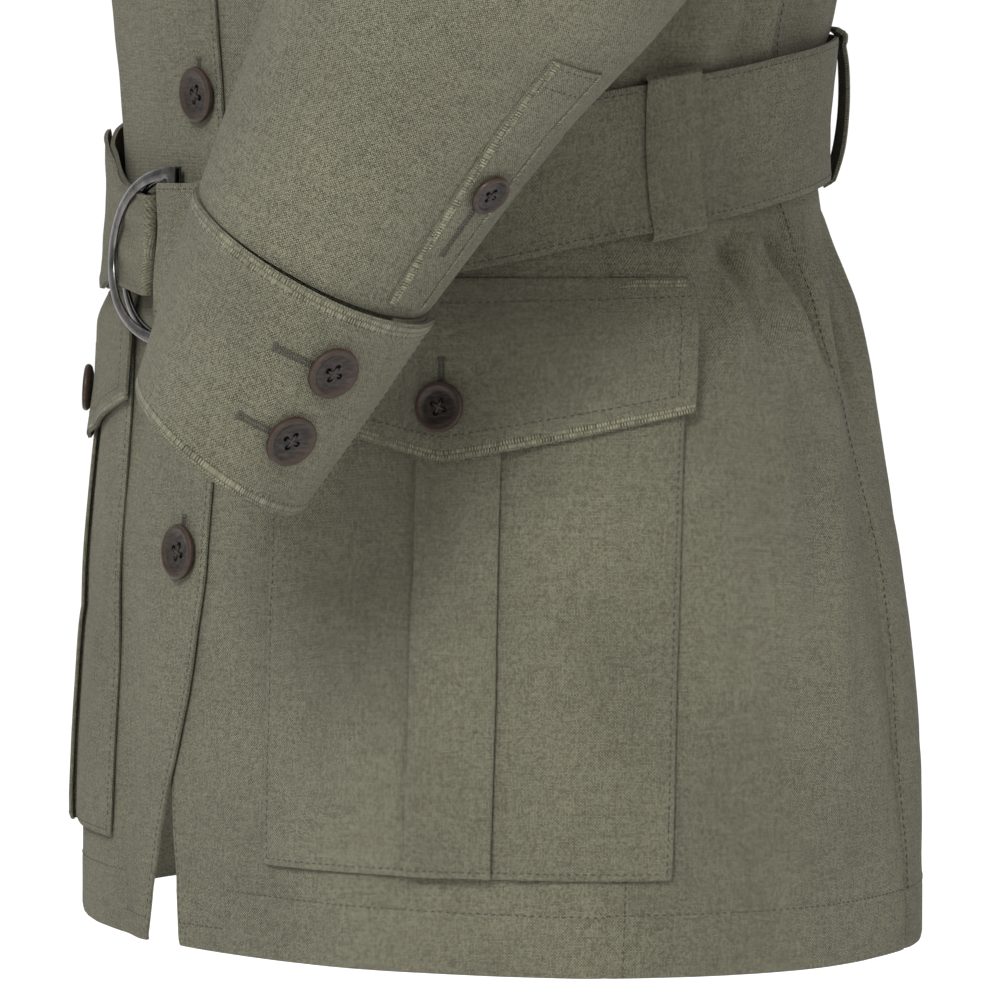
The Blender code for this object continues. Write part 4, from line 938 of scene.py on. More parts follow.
class Graph:
    """A short hand for the nodes of a material or of a node group."""

    def __init__(self, tree: bpy.types.NodeTree) -> None:
        """Works on one node tree."""
        self.tree = tree

    def add(self, kind: str, **inputs: object) -> bpy.types.Node:
        """Adds a node and feeds its inputs, named with _ for spaces, from sockets or plain values."""
        node = self.tree.nodes.new(kind)
        for name, value in inputs.items():
            self.feed(node.inputs[name.replace("_", " ")], value)
        return node

    def feed(self, socket: bpy.types.NodeSocket, value: object) -> None:
        """Links a socket to an input, or sets the input's value."""
        if isinstance(value, bpy.types.NodeSocket):
            self.tree.links.new(value, socket)
        else:
            socket.default_value = value

    def math(self, operation: str, *values: object) -> bpy.types.NodeSocket:
        """A Math node's result."""
        node = self.tree.nodes.new("ShaderNodeMath")
        node.operation = operation
        for socket, value in zip(node.inputs, values):
            self.feed(socket, value)
        return node.outputs[0]

    def times(self, first: object, second: object) -> bpy.types.NodeSocket:
        """Two values multiplied."""
        return self.math("MULTIPLY", first, second)

    def plus(self, first: object, second: object) -> bpy.types.NodeSocket:
        """Two values added."""
        return self.math("ADD", first, second)

    def without(self, value: object) -> bpy.types.NodeSocket:
        """What a value leaves of 1."""
        return self.math("SUBTRACT", 1.0, value)

    def ramp(self, value: object, low: float, high: float, to_low: float = 0.0, to_high: float = 1.0) -> object:
        """A value carried from one range to another, smoothly and clamped."""
        node = self.tree.nodes.new("ShaderNodeMapRange")
        node.interpolation_type = "SMOOTHSTEP"
        names = ("Value", "From Min", "From Max", "To Min", "To Max")
        for name, given in zip(names, (value, low, high, to_low, to_high)):
            self.feed(node.inputs[name], given)
        return node.outputs["Result"]

    def vector(self, x: object, y: object, z: object = 0.0) -> bpy.types.NodeSocket:
        """A vector of three values."""
        return self.add("ShaderNodeCombineXYZ", X=x, Y=y, Z=z).outputs[0]

    def noise(self, vector: object, scale: float, detail: float = 2.0) -> bpy.types.NodeSocket:
        """A noise's value at a vector."""
        return self.add("ShaderNodeTexNoise", Vector=vector, Scale=scale, Detail=detail).outputs["Fac"]

    def mix(self, share: object, first: object, second: object, blend: str = "MIX") -> bpy.types.NodeSocket:
        """Two colours mixed by a share."""
        node = self.tree.nodes.new("ShaderNodeMix")
        node.data_type = "RGBA"
        node.blend_type = blend
        self.feed(node.inputs[0], share)
        self.feed(node.inputs[6], first)
        self.feed(node.inputs[7], second)
        return node.outputs[2]


@functools.lru_cache(maxsize=1)
def weave_group() -> bpy.types.NodeTree:
    """A plain weave measured in metres: the height of its threads, their uneven tone and the holes between them."""
    tree = bpy.data.node_groups.new("plain weave", "ShaderNodeTree")
    for name, kind, default in (("Vector", "NodeSocketVector", None), ("Pitch", "NodeSocketFloat", 0.5 * MM)):
        socket = tree.interface.new_socket(name, in_out="INPUT", socket_type=kind)
        if default is not None:
            socket.default_value = default
    for name in ("Height", "Tone", "Hole"):
        tree.interface.new_socket(name, in_out="OUTPUT", socket_type="NodeSocketFloat")
    graph = Graph(tree)
    given = tree.nodes.new("NodeGroupInput")
    put = tree.nodes.new("NodeGroupOutput")
    split = graph.add("ShaderNodeSeparateXYZ", Vector=given.outputs["Vector"])
    sway = graph.times(graph.math("SUBTRACT", graph.noise(given.outputs["Vector"], 45.0), 0.5), 0.9)
    a = graph.plus(graph.math("DIVIDE", split.outputs["X"], given.outputs["Pitch"]), sway)
    b = graph.plus(graph.math("DIVIDE", split.outputs["Y"], given.outputs["Pitch"]), sway)
    warp, weft = graph.math("FLOOR", a), graph.math("FLOOR", b)
    over_warp = graph.math("SINE", graph.times(graph.math("FRACT", a), math.pi))
    over_weft = graph.math("SINE", graph.times(graph.math("FRACT", b), math.pi))
    parity = graph.math("FLOORED_MODULO", graph.plus(warp, weft), 2.0)
    warp_slub = graph.noise(graph.vector(graph.times(warp, 7.31), graph.times(b, 0.045)), 1.0, 3.0)
    weft_slub = graph.noise(graph.vector(graph.times(a, 0.04), graph.times(weft, 5.17), 9.0), 1.0, 3.0)
    first = graph.times(over_warp, graph.math("MULTIPLY_ADD", over_weft, 0.45, 0.55))
    second = graph.times(over_weft, graph.math("MULTIPLY_ADD", over_warp, 0.45, 0.55))
    on_top = graph.times(first, parity)
    below = graph.times(second, graph.without(parity))
    slub = graph.plus(graph.times(warp_slub, parity), graph.times(weft_slub, graph.without(parity)))
    height = graph.times(graph.plus(on_top, below), graph.math("MULTIPLY_ADD", slub, 0.8, 0.6))
    empty = graph.times(graph.without(over_warp), graph.without(over_weft))
    graph.feed(put.inputs["Height"], height)
    cell = graph.add("ShaderNodeTexWhiteNoise", Vector=graph.vector(warp, weft)).outputs["Value"]
    uneven = graph.math("MULTIPLY_ADD", cell, 0.42, graph.times(graph.ramp(slub, 0.28, 0.72), 0.24))
    graph.feed(put.inputs["Tone"], graph.math("MULTIPLY_ADD", parity, 0.34, uneven))
    graph.feed(put.inputs["Hole"], graph.ramp(empty, 0.10, 0.62))
    return tree


@dataclass(frozen=True)
class Finish:
    """A finish, with the record's slot that it belongs to."""

    name: str
    slot: str

    def material(self) -> bpy.types.Material:
        """The finish's material, made once."""
        found = bpy.data.materials.get(self.name)
        if found:
            return found
        made = bpy.data.materials.new(self.name)
        made.use_nodes = True
        self.dress(Graph(made.node_tree), made.node_tree.nodes["Principled BSDF"])
        return made

    def dress(self, graph: Graph, shader: bpy.types.Node) -> None:
        """Adds the finish's nodes."""
        raise NotImplementedError


@dataclass(frozen=True)
class Linen(Finish):
    """Washed linen in a plain weave of slubby threads, with the holes between them painted near black as the shade seen
    through them.
    """

    dark: tuple[float, float, float, float] = (0.024, 0.022, 0.014, 1)
    light: tuple[float, float, float, float] = (0.255, 0.243, 0.166, 1)
    # Painted shade: the hole colour is the unlit inside seen through the gaps of the weave.
    hole: tuple[float, float, float, float] = (0.003, 0.003, 0.002, 1)
    pitch: float = 0.52 * MM

    def dress(self, graph: Graph, shader: bpy.types.Node) -> None:
        """Weaves the colour and the bump, with tone that drifts over the cloth and puckers along its stitching."""
        at = graph.add("ShaderNodeTexCoord").outputs["UV"]
        weave = graph.tree.nodes.new("ShaderNodeGroup")
        weave.node_tree = weave_group()
        graph.feed(weave.inputs["Vector"], at)
        graph.feed(weave.inputs["Pitch"], self.pitch)
        threads = graph.mix(weave.outputs["Tone"], self.dark, self.light)
        # Painted shade: the gaps between the threads are darkened towards the hole colour.
        hole_shade_share = graph.times(weave.outputs["Hole"], 0.95)
        woven = graph.mix(hole_shade_share, threads, self.hole)
        drift = graph.noise(at, 14.0, 3.0)
        patch = graph.ramp(drift, 0.3, 0.7, 0.90, 1.08)
        tight = graph.add("ShaderNodeAttribute")
        tight.attribute_name = "pucker"
        rubbed = graph.times(tight.outputs["Fac"], graph.ramp(graph.noise(at, 160.0), 0.45, 0.7, 0.0, 0.05))
        tone = graph.plus(patch, rubbed)
        shade = graph.add("ShaderNodeCombineColor", Red=tone, Green=tone, Blue=tone).outputs[0]
        graph.feed(shader.inputs["Base Color"], graph.mix(1.0, woven, shade, "MULTIPLY"))
        puckers = graph.times(graph.noise(at, 150.0, 1.0), graph.times(tight.outputs["Fac"], 0.55))
        crumple = graph.times(graph.noise(at, 55.0, 3.0), 0.35)
        soft = graph.add("ShaderNodeBump", Height=graph.plus(puckers, crumple), Strength=1.0, Distance=0.8 * MM)
        fibres = graph.times(graph.noise(at, 5200.0, 1.0), 0.25)
        raised = graph.plus(weave.outputs["Height"], fibres)
        bump = graph.add("ShaderNodeBump", Height=raised, Strength=1.0, Distance=0.32 * MM, Normal=soft.outputs[0])
        graph.feed(shader.inputs["Normal"], bump.outputs[0])
        graph.feed(shader.inputs["Roughness"], graph.ramp(weave.outputs["Tone"], 0.0, 1.0, 0.95, 0.80))
        shader.inputs["Sheen Weight"].default_value = 0.06
        shader.inputs["Sheen Roughness"].default_value = 0.55
        shader.inputs["Specular IOR Level"].default_value = 0.12


@dataclass(frozen=True)
class Thread(Finish):
    """Twisted sewing thread; its default colours, used for the topstitching, are painted far darker than the olive
    thread, as the shade in the stitch holes.
    """

    # Painted shade: these defaults darken the olive thread to stand in for the shade in its stitch holes.
    colour: tuple[float, float, float, float] = (0.012, 0.011, 0.008, 1)
    pale: tuple[float, float, float, float] = (0.032, 0.030, 0.021, 1)

    def dress(self, graph: Graph, shader: bpy.types.Node) -> None:
        """Colours the thread with a fine twist."""
        at = graph.add("ShaderNodeTexCoord").outputs["Object"]
        twist = graph.noise(at, 2600.0, 2.0)
        graph.feed(shader.inputs["Base Color"], graph.mix(graph.ramp(twist, 0.35, 0.65), self.colour, self.pale))
        bump = graph.add("ShaderNodeBump", Height=twist, Strength=0.5, Distance=0.1 * MM)
        graph.feed(shader.inputs["Normal"], bump.outputs[0])
        graph.feed(shader.inputs["Roughness"], graph.ramp(twist, 0.3, 0.7, 0.6, 0.85))


@dataclass(frozen=True)
class Horn(Finish):
    """Dark brown horn, streaked, with a redder and more worn rim."""

    dark: tuple[float, float, float, float] = (0.005, 0.004, 0.0035, 1)
    streak: tuple[float, float, float, float] = (0.026, 0.018, 0.013, 1)
    rim: tuple[float, float, float, float] = (0.030, 0.018, 0.012, 1)

    def dress(self, graph: Graph, shader: bpy.types.Node) -> None:
        """Streaks the horn and warms its rim."""
        at = graph.add("ShaderNodeTexCoord").outputs["Object"]
        stretched = graph.add("ShaderNodeMapping", Vector=at)
        stretched.inputs["Scale"].default_value = (320.0, 320.0, 1150.0)
        stretched.inputs["Rotation"].default_value = (0.3, 0.5, 0.2)
        grain = graph.noise(stretched.outputs[0], 1.0, 5.0)
        edge = graph.add("ShaderNodeAttribute")
        edge.attribute_name = "rim"
        body = graph.mix(graph.ramp(grain, 0.36, 0.68), self.dark, self.streak)
        share = graph.times(edge.outputs["Fac"], graph.ramp(grain, 0.25, 0.6, 0.45, 0.95))
        graph.feed(shader.inputs["Base Color"], graph.mix(share, body, self.rim))
        graph.feed(shader.inputs["Roughness"], graph.ramp(grain, 0.3, 0.7, 0.50, 0.34))
        bump = graph.add("ShaderNodeBump", Height=grain, Strength=0.35, Distance=0.15 * MM)
        graph.feed(shader.inputs["Normal"], bump.outputs[0])
        shader.inputs["Specular IOR Level"].default_value = 0.25


@dataclass(frozen=True)
class Nickel(Finish):
    """Polished nickel, its colour painted dark to stand in for the dark reflections it shows, with fine rubbed
    scratches.
    """

    # Painted reflection: these base colours are far darker than real nickel, standing in for dark reflections.
    colour: tuple[float, float, float, float] = (0.07, 0.068, 0.066, 1)
    worn: tuple[float, float, float, float] = (0.16, 0.155, 0.15, 1)

    def dress(self, graph: Graph, shader: bpy.types.Node) -> None:
        """Clouds the metal and rubs it."""
        at = graph.add("ShaderNodeTexCoord").outputs["Object"]
        cloud = graph.noise(at, 160.0, 4.0)
        stretched = graph.add("ShaderNodeMapping", Vector=at)
        stretched.inputs["Scale"].default_value = (2600.0, 400.0, 300.0)
        rubbed = graph.noise(stretched.outputs[0], 1.0, 3.0)
        graph.feed(shader.inputs["Base Color"], graph.mix(graph.ramp(cloud, 0.35, 0.7), self.colour, self.worn))
        graph.feed(shader.inputs["Roughness"], graph.ramp(rubbed, 0.3, 0.75, 0.14, 0.30))
        bump = graph.add("ShaderNodeBump", Height=rubbed, Strength=0.12, Distance=0.05 * MM)
        graph.feed(shader.inputs["Normal"], bump.outputs[0])
        shader.inputs["Metallic"].default_value = 1.0


@dataclass(frozen=True)
class Floor(Finish):
    """A plain pale floor."""

    def dress(self, graph: Graph, shader: bpy.types.Node) -> None:
        """Colours the floor."""
        shader.inputs["Base Color"].default_value = (0.92, 0.92, 0.92, 1)
        shader.inputs["Emission Color"].default_value = (1.0, 1.0, 1.0, 1)
        shader.inputs["Emission Strength"].default_value = 0.25
        shader.inputs["Roughness"].default_value = 0.9


LINEN = Linen("olive linen", "linen")
# The topstitching's olive thread is painted dark, as the shade in its stitch holes.
STITCH_WITH_PAINTED_SHADE = Thread("olive thread", "linen")
DARK_THREAD = Thread("dark brown thread", "linen", (0.010, 0.007, 0.006, 1), (0.022, 0.016, 0.013, 1))
BUTTONHOLE = Thread("buttonhole thread", "linen", (0.014, 0.013, 0.009, 1), (0.055, 0.051, 0.036, 1))
HORN = Horn("dark horn", "horn")
# The nickel's colour is painted dark, as a stand-in for dark reflections.
NICKEL = Nickel("dark nickel", "nickel")
FLOOR = Floor("pale floor", "")


@dataclass
class Stitching:
    """Runs of topstitching: small rounded stitches laid end to end along paths on the cloth."""

    name: str
    pitch: float = 2.8 * MM
    share: float = 0.60
    radius: float = 0.28 * MM
    sink: float = 0.05 * MM
    # By default the stitches use the thread painted dark for the shade in their holes.
    finish: Finish = STITCH_WITH_PAINTED_SHADE
    paths: list[list[Vector]] = field(default_factory=list)

    def run(self, points: Iterable[Vector]) -> None:
        """Adds a path to stitch along."""
        self.paths.append(list(points))

    def along(self, place: Place, start: tuple[float, float], end: tuple[float, float], count: int = 60) -> None:
        """Adds a path on a sheet, straight between two places of it.

        Args:
            place: The sheet's surface.
            start: Its shares across and up at the start.
            end: Its shares across and up at the end.
            count: The path's steps.
        """
        shares = steps(0, 1, count)
        self.run(
            place(start[0] + (end[0] - start[0]) * share, start[1] + (end[1] - start[1]) * share, -self.sink)
            for share in shares
        )

    def spots(self, path: list[Vector]) -> list[tuple[Vector, Vector]]:
        """The two ends of every stitch along a path."""
        found = []
        start = path[0].copy()
        walked = 0.0
        for before, after in zip(path, path[1:]):
            step = (after - before).length
            at = 0.0
            while walked + step - at >= self.pitch:
                at += self.pitch - walked
                end = before.lerp(after, min(at / step, 1.0))
                found.append((start, start.lerp(end, self.share)))
                start = end
                walked = 0.0
                if step - at < self.pitch:
                    break
            walked += step - at
        return found

    def make(self) -> bpy.types.Object:
        """Makes one piece of all the stitches."""
        shape = bmesh.new()
        for path in self.paths:
            for start, end in self.spots(path):
                run = end - start
                if run.length < 0.2 * MM:
                    continue
                turned = run.to_track_quat("X", "Z").to_matrix().to_4x4()
                size = Matrix.Diagonal((run.length / 2 + self.radius / 2, self.radius, self.radius, 1.0))
                place = Matrix.Translation((start + end) / 2) @ turned @ size
                bmesh.ops.create_icosphere(shape, subdivisions=1, radius=1.0, matrix=place)
        return MAKER.finish(self.name, shape, self.finish, sharp=180.0)


def seam_dip(distance: float) -> float:
    """How far the cloth turns in at a sewn edge, by the distance from it."""
    return -SEAM_DEPTH * bell(distance, SEAM_REACH)


def hem_step(z: float) -> float:
    """The doubled cloth of the hem stands a little proud, and its edge turns in."""
    up = z - HEM_Z
    return HEM_PROUD * (1 - ease((up - HEM_WIDTH) / HEM_FADE)) - HEM_DEPTH * bell(up, HEM_REACH)


def panel_rows(body_rows: int, yoke_rows: int) -> list[float]:
    """A panel's shares up from the hem: rows below the tops of the long seams, and rows above."""
    body = [share * SPLIT for share in crowded(body_rows, HEM_CROWDING)]
    return body + [SPLIT + share * (1 - SPLIT) for share in steps(0, 1, yoke_rows)[1:]]


@dataclass
class Fan:
    """A panel above the tops of the long seams, where it fans out over lines up to the shoulder."""

    levels: tuple[Level, ...]
    inner: float
    outer: float

    def __post_init__(self) -> None:
        """Lists where the lines start and end, the first at the tops of the long seams."""
        self.inner_x = [-self.inner] + [level.inner_x or -self.inner for level in self.levels]
        self.inner_z = [SEAM_TOP_Z] + [level.inner_z for level in self.levels]
        self.arms = [(0, self.outer, SEAM_TOP_Z)]
        self.arms += [(index, level.arm_x, level.arm_z) for index, level in enumerate(self.levels, 1)]

    def spot(self, v: float, share: float) -> tuple[float, float, float]:
        """A place by the panel's share up and the share along the line there.

        Args:
            v: The share of the panel's height, past the tops of the long seams.
            share: The share of the way out along the line.

        Returns:
            The distance from the middle, the height, and how far the seams turn the cloth in.
        """
        at = (v - SPLIT) / (1 - SPLIT) * len(self.levels)
        start_x, start_z = straight(self.inner_x, at), straight(self.inner_z, at)
        _, end_x, end_z = between(self.arms, at)
        x = start_x + (end_x - start_x) * share
        dip = seam_dip(end_x - x) + seam_dip((len(self.levels) - at) * LEVEL_GAP)
        return x, start_z + (end_z - start_z) * share, dip


@dataclass
class Fronts:
    """The left and right front, the right lapped over the left, with the swing of their free edges at the hem."""

    columns: int = 60
    body_rows: int = 165
    yoke_rows: int = 72
    wall: float = 1.1 * MM

    def past_edge(self, side: int, z: float) -> float:
        """How far past centre front the free edge reaches."""
        edge = between(EDGES, z)
        return edge.right_past if side < 0 else edge.left_past

    def lapped(self, side: int, x: float) -> float:
        """How far the right front rises over the left where the two lap."""
        return LAP * ease((side * x + LAP_HALF + LAP_EASE) / LAP_EASE) if side < 0 else 0.0

    def place(self, side: int) -> Place:
        """The front's surface, across from its free edge to the long seam and up from the hem."""

        def lower(share: float, z: float, out: float) -> Vector:
            """A point below the underarm, by its share across and its height."""
            section = section_at(z)
            gap = math.degrees(SEAM / 2 / section.half_width)
            edge_angle = -90 - math.degrees(math.asin(self.past_edge(side, z) / section.half_width))
            seam_angle = between(SEAMS, z).front_side - gap
            under = math.degrees(TUCKED / section.half_width)
            angle = edge_angle + (seam_angle + under - edge_angle) * share**EDGE_CROWDING
            x = section.half_width * math.cos(math.radians(angle))
            body_angle = angle if side > 0 else -180 - angle
            out += seam_dip((seam_angle - angle) * WAIST_ARC) + hem_step(z)
            out -= TUCKED_DOWN * ease((angle - seam_angle) / under)
            out -= ROLLED * bell((angle - edge_angle) * WAIST_ARC, 1.5 * MM)
            return FORM.body(body_angle, z, out + self.lapped(side, x))

        first = [lower(share, SEAM_TOP_Z, 0.0) for share in (0.0, 1.0)]
        inner, outer = abs(first[0].x), abs(first[1].x)
        fan = Fan(FRONT_LEVELS, inner, outer)

        @functools.lru_cache(maxsize=512)
        def top_share(share: float) -> float:
            """The share of the way across at the top of the long seams."""
            spot = lower(share, SEAM_TOP_Z, 0.0)
            return (side * spot.x + inner) / (outer + inner)

        def surface(u: float, v: float, out: float) -> Vector:
            """A point of the front: below the underarm straight up, above it fanned to the shoulder."""
            if v <= SPLIT:
                return lower(u, HEM_Z + (SEAM_TOP_Z - HEM_Z) * v / SPLIT, out)
            x, z, dip = fan.spot(v, top_share(u))
            return FORM.yoke(side * x, z, -1, out + dip + self.lapped(side, x))

        return surface

    def build(self) -> None:
        """Makes both fronts and their topstitching."""
        across = crowded(self.columns)
        up = panel_rows(self.body_rows, self.yoke_rows)
        for side, word in ((1, "left"), (-1, "right")):
            place = self.place(side)
            sheet = Sheet(f"{word}_front_cloth", place, across, up, self.wall, 1.0, stitched="lrb", grain=side * 0.37)
            MAKER.cloth([sheet], LINEN, [f"{word}_front"])
            sewing = Stitching(f"{word}_front_stitches")
            sewing.along(place, (0.20, 0.0325), (0.995, 0.030), 120)
            sewing.along(place, (0.012, 0.012), (0.20, 0.0125), 60)
            sewing.along(place, (0.016, 0.012), (0.016, 0.93), 260)
            sewing.make()


@dataclass
class Sides:
    """The panel under each arm, between the two long seams."""

    columns: int = 40
    rows: int = 165
    wall: float = 1.1 * MM

    def place(self, side: int) -> Place:
        """The panel's surface, across from the front seam to the back one and up from the hem."""

        def surface(u: float, v: float, out: float) -> Vector:
            """A point of the panel, its top dipped under the arm."""
            z = HEM_Z + (SEAM_TOP_Z - HEM_Z) * v
            near_top = ease((z + 0.326) / 0.104)
            drop = (UNDERARM_Z - SEAM_TOP_Z) * math.sin(math.pi * u) * near_top
            line = between(SEAMS, z + drop)
            gap = math.degrees(SEAM / 2 / section_at(z).half_width)
            start, end = line.front_side + gap, line.back_side - gap
            angle = start + (end - start) * u
            edge = min(angle - start, end - angle) * WAIST_ARC
            out += seam_dip(edge) + hem_step(z)
            return FORM.body(angle if side > 0 else 180 - angle, z + drop, out)

        return surface

    def build(self) -> None:
        """Makes both side panels and their topstitching."""
        for side, word in ((1, "left"), (-1, "right")):
            place = self.place(side)
            up = crowded(self.rows, HEM_CROWDING)
            sheet = Sheet(f"{word}_side_cloth", place, crowded(self.columns), up, self.wall, 0.5, stitched="lrb")
            sheet.grain = side * 0.21
            MAKER.cloth([sheet], LINEN, [f"{word}_side"])
            sewing = Stitching(f"{word}_side_stitches")
            sewing.along(place, (0.04, 0.0), (0.05, 0.47), 160)
            sewing.along(place, (0.05, 0.62), (0.04, 0.99), 120)
            sewing.along(place, (0.0, 0.0465), (1.0, 0.0465), 100)
            sewing.make()


@dataclass
class Back:
    """The back, cut in one piece, up to the neck and the shoulder seams."""

    columns: int = 50
    body_rows: int = 150
    yoke_rows: int = 72
    wall: float = 1.1 * MM

    def half(self, side: int) -> Place:
        """Half of the back's surface, across from centre back to the seam and up from the hem."""

        def lower(share: float, z: float, out: float) -> Vector:
            """A point below the underarm, by its share from centre back and its height."""
            section = section_at(z)
            gap = math.degrees(SEAM / 2 / section.half_width)
            seam_angle = between(SEAMS, z).back_side + gap
            under = math.degrees(TUCKED / section.half_width)
            angle = 90 + (seam_angle - under - 90) * share
            out += seam_dip((angle - seam_angle) * WAIST_ARC) + hem_step(z)
            out -= TUCKED_DOWN * ease((seam_angle - angle) / under)
            return FORM.body(angle if side > 0 else 180 - angle, z, out)

        outer = abs(lower(1.0, SEAM_TOP_Z, 0.0).x)
        fan = Fan(BACK_LEVELS, 0.0, outer)

        @functools.lru_cache(maxsize=512)
        def top_share(share: float) -> float:
            """The share of the way across at the top of the long seams."""
            return abs(lower(share, SEAM_TOP_Z, 0.0).x) / outer

        def surface(u: float, v: float, out: float) -> Vector:
            """A point of the half: below the underarm straight up, above it fanned to the shoulder."""
            if v <= SPLIT:
                return lower(u, HEM_Z + (SEAM_TOP_Z - HEM_Z) * v / SPLIT, out)
            x, z, dip = fan.spot(v, top_share(u))
            return FORM.yoke(side * x, z, 1, out + dip)

        return surface

    def place(self) -> tuple[Place, Place]:
        """Both halves' surfaces, each across from the wearer's left to the right."""
        left, right = self.half(1), self.half(-1)
        return (lambda u, v, out: left(1 - u, v, out)), right

    def build(self) -> None:
        """Makes the back and its topstitching."""
        left, right = self.place()
        up = panel_rows(self.body_rows, self.yoke_rows)
        across = steps(0, 1, self.columns)
        left_across = [0.0, 0.006, 0.013, *across[1:]]
        right_across = [*across[:-1], 0.987, 0.994, 1.0]
        sheets = [
            Sheet("back_cloth", left, left_across, up, self.wall, 1.0, stitched="lb", grain=0.5),
            Sheet("back_cloth", right, right_across, up, self.wall, 0.0, stitched="rb", grain=0.5),
        ]
        MAKER.cloth(sheets, LINEN, ["back"])
        sewing = Stitching("back_stitches")
        for half in (left, right):
            sewing.along(half, (0.0, 0.031), (1.0, 0.031), 120)
        sewing.along(left, (0.03, 0.03), (0.03, 0.66), 200)
        sewing.along(right, (0.97, 0.03), (0.97, 0.66), 200)
        sewing.make()


FRONTS = Fronts()


@dataclass
class SleeveForm:
    """The surface of one sleeve and of its cuff: built on the wearer's left and mirrored for the right."""

    word: str
    sign: int
    arm: tuple[Arm, ...]
    cuff: Arm
    across_way: tuple[float, float, float]
    cuff_across: tuple[float, float, float]
    creases: tuple[Crease, ...]
    count: int = 240
    cap_share: float = 0.13
    cap_gap: float = 0.9 * MM
    middle: Vector = field(default_factory=lambda: Vector((0.186, -0.095, -0.145)))
    lap_out: float = 2.7 * MM
    lap_full: float = 58
    lap_end: float = 140
    proud: float = 1.2 * MM
    uneven: float = 0.6 * MM
    uneven_fine: float = 0.3 * MM
    cuff_uneven: float = 0.5 * MM
    cap_turned_in: float = 0.7 * MM

    def __post_init__(self) -> None:
        """Turns the frames along the arm, and draws the armhole's outline."""
        self.frames = []
        run, up_axis = OUTWARD, UP.copy()
        for share in steps(0, 1, self.count):
            row = between(self.arm, share)
            way = row.way()
            up_axis = run.rotation_difference(way) @ up_axis
            run = way
            self.frames.append((row, run, up_axis.copy(), run.cross(up_axis)))
        front, side, back = FRONTS.place(1), Sides().place(1), Back().half(1)
        self.outline = [front(1.0, SPLIT + (1 - SPLIT) * share, 0.0) for share in steps(1, 0, 40)]
        self.outline += [side(share, 1.0, 0.0) for share in steps(0, 1, 24)]
        self.outline += [back(1.0, SPLIT + (1 - SPLIT) * share, 0.0) for share in steps(0, 1, 40)]
        self.reaches: dict[float, tuple[float, float]] = {}

    def frame(self, share: float) -> tuple[Arm, Vector, Vector, Vector]:
        """The sleeve's ring, run and two turning axes at a share of its length."""
        at = min(max(share, 0.0), 1.0) * self.count
        index = min(int(at), self.count - 1)
        low, high = self.frames[index], self.frames[index + 1]
        part = at - index
        row = Arm(*[a + (b - a) * part for a, b in zip(low[0], high[0])])
        return row, *[a.lerp(b, part).normalized() for a, b in zip(low[1:], high[1:])]

    def across_axes(self, run: Vector) -> tuple[Vector, Vector]:
        """The forearm's two axes at a run."""
        across = Vector(self.across_way)
        across = (across - run * across.dot(run)).normalized()
        return across, run.cross(across)

    def radius(self, row: Arm, run: Vector, up_axis: Vector, front_axis: Vector, turn: float) -> tuple[Vector, float]:
        """The way and the radius in one direction round the sleeve."""
        way = up_axis * math.cos(turn) + front_axis * math.sin(turn)
        cap = 1 / math.hypot(math.cos(turn) / row.across, math.sin(turn) / row.view)
        across, view = self.across_axes(run)
        fore = 1 / math.hypot(way.dot(across) / row.across, way.dot(view) / row.view)
        radius = cap + (fore - cap) * min(max(row.fore, 0), 1)
        for crease in self.creases:
            along = (row.at - crease.at) / crease.half_at
            if abs(along) < 3:
                round_it = turn_between(math.degrees(turn), crease.round) / crease.half_round
                radius += crease.height * math.exp(-along * along - round_it * round_it)
        wave = Vector((math.cos(turn) * 1.2, math.sin(turn) * 1.2, row.at * 9.0 + self.sign * 4.0))
        return way, radius + self.uneven * noise.noise(wave) + self.uneven_fine * noise.noise(wave * 2.9)

    def armhole(self, turn: float) -> tuple[float, float]:
        """How far the armhole's edge lies from its middle in one direction, and its place outward."""
        if turn in self.reaches:
            return self.reaches[turn]
        way = (math.cos(turn), math.sin(turn))
        best = (0.0, self.middle.x)
        for start, end in zip(self.outline, self.outline[1:] + self.outline[:1]):
            first = (start.z - self.middle.z, self.middle.y - start.y)
            step = (end.z - start.z, start.y - end.y)
            across = way[0] * step[1] - way[1] * step[0]
            if abs(across) < 1e-9:
                continue
            share = (way[1] * first[0] - way[0] * first[1]) / across
            reach = (first[0] + step[0] * share) * way[0] + (first[1] + step[1] * share) * way[1]
            if -1e-6 <= share <= 1 + 1e-6 and reach > best[0]:
                best = (reach, start.x + (end.x - start.x) * share)
        self.reaches[turn] = best
        return best

    def surface(self, at: float, turn: float, out: float) -> Vector:
        """A point of the sleeve by its share of the length and its turn from the cap's top, in radians."""
        row, run, up_axis, front_axis = self.frame(at)
        way, radius = self.radius(row, run, up_axis, front_axis, turn)
        middle = row.middle()
        point = middle + way * (radius + out)
        if at < self.cap_share:
            reach, x = self.armhole(turn)
            reach += out - SEAM - self.cap_turned_in * bell(at * 0.6, 2 * MM)
            loop = middle + run * (x + self.cap_gap - self.middle.x)
            loop += (up_axis * math.cos(turn) + front_axis * math.sin(turn)) * reach
            point = loop.lerp(point, ease(at / self.cap_share))
        return point

    def from_lap(self, at: float, round_it: float, out: float) -> Vector:
        """A point of the sleeve by its share of the length and its degrees round from the cuff's lap edge."""
        _, run, up_axis, front_axis = self.frame(at)
        across, view = self.across_axes(run)
        way = across * math.cos(math.radians(round_it)) + view * math.sin(math.radians(round_it))
        turn = math.atan2(way.dot(front_axis), way.dot(up_axis))
        return mirrored(self.sign, self.surface(at, turn, out))

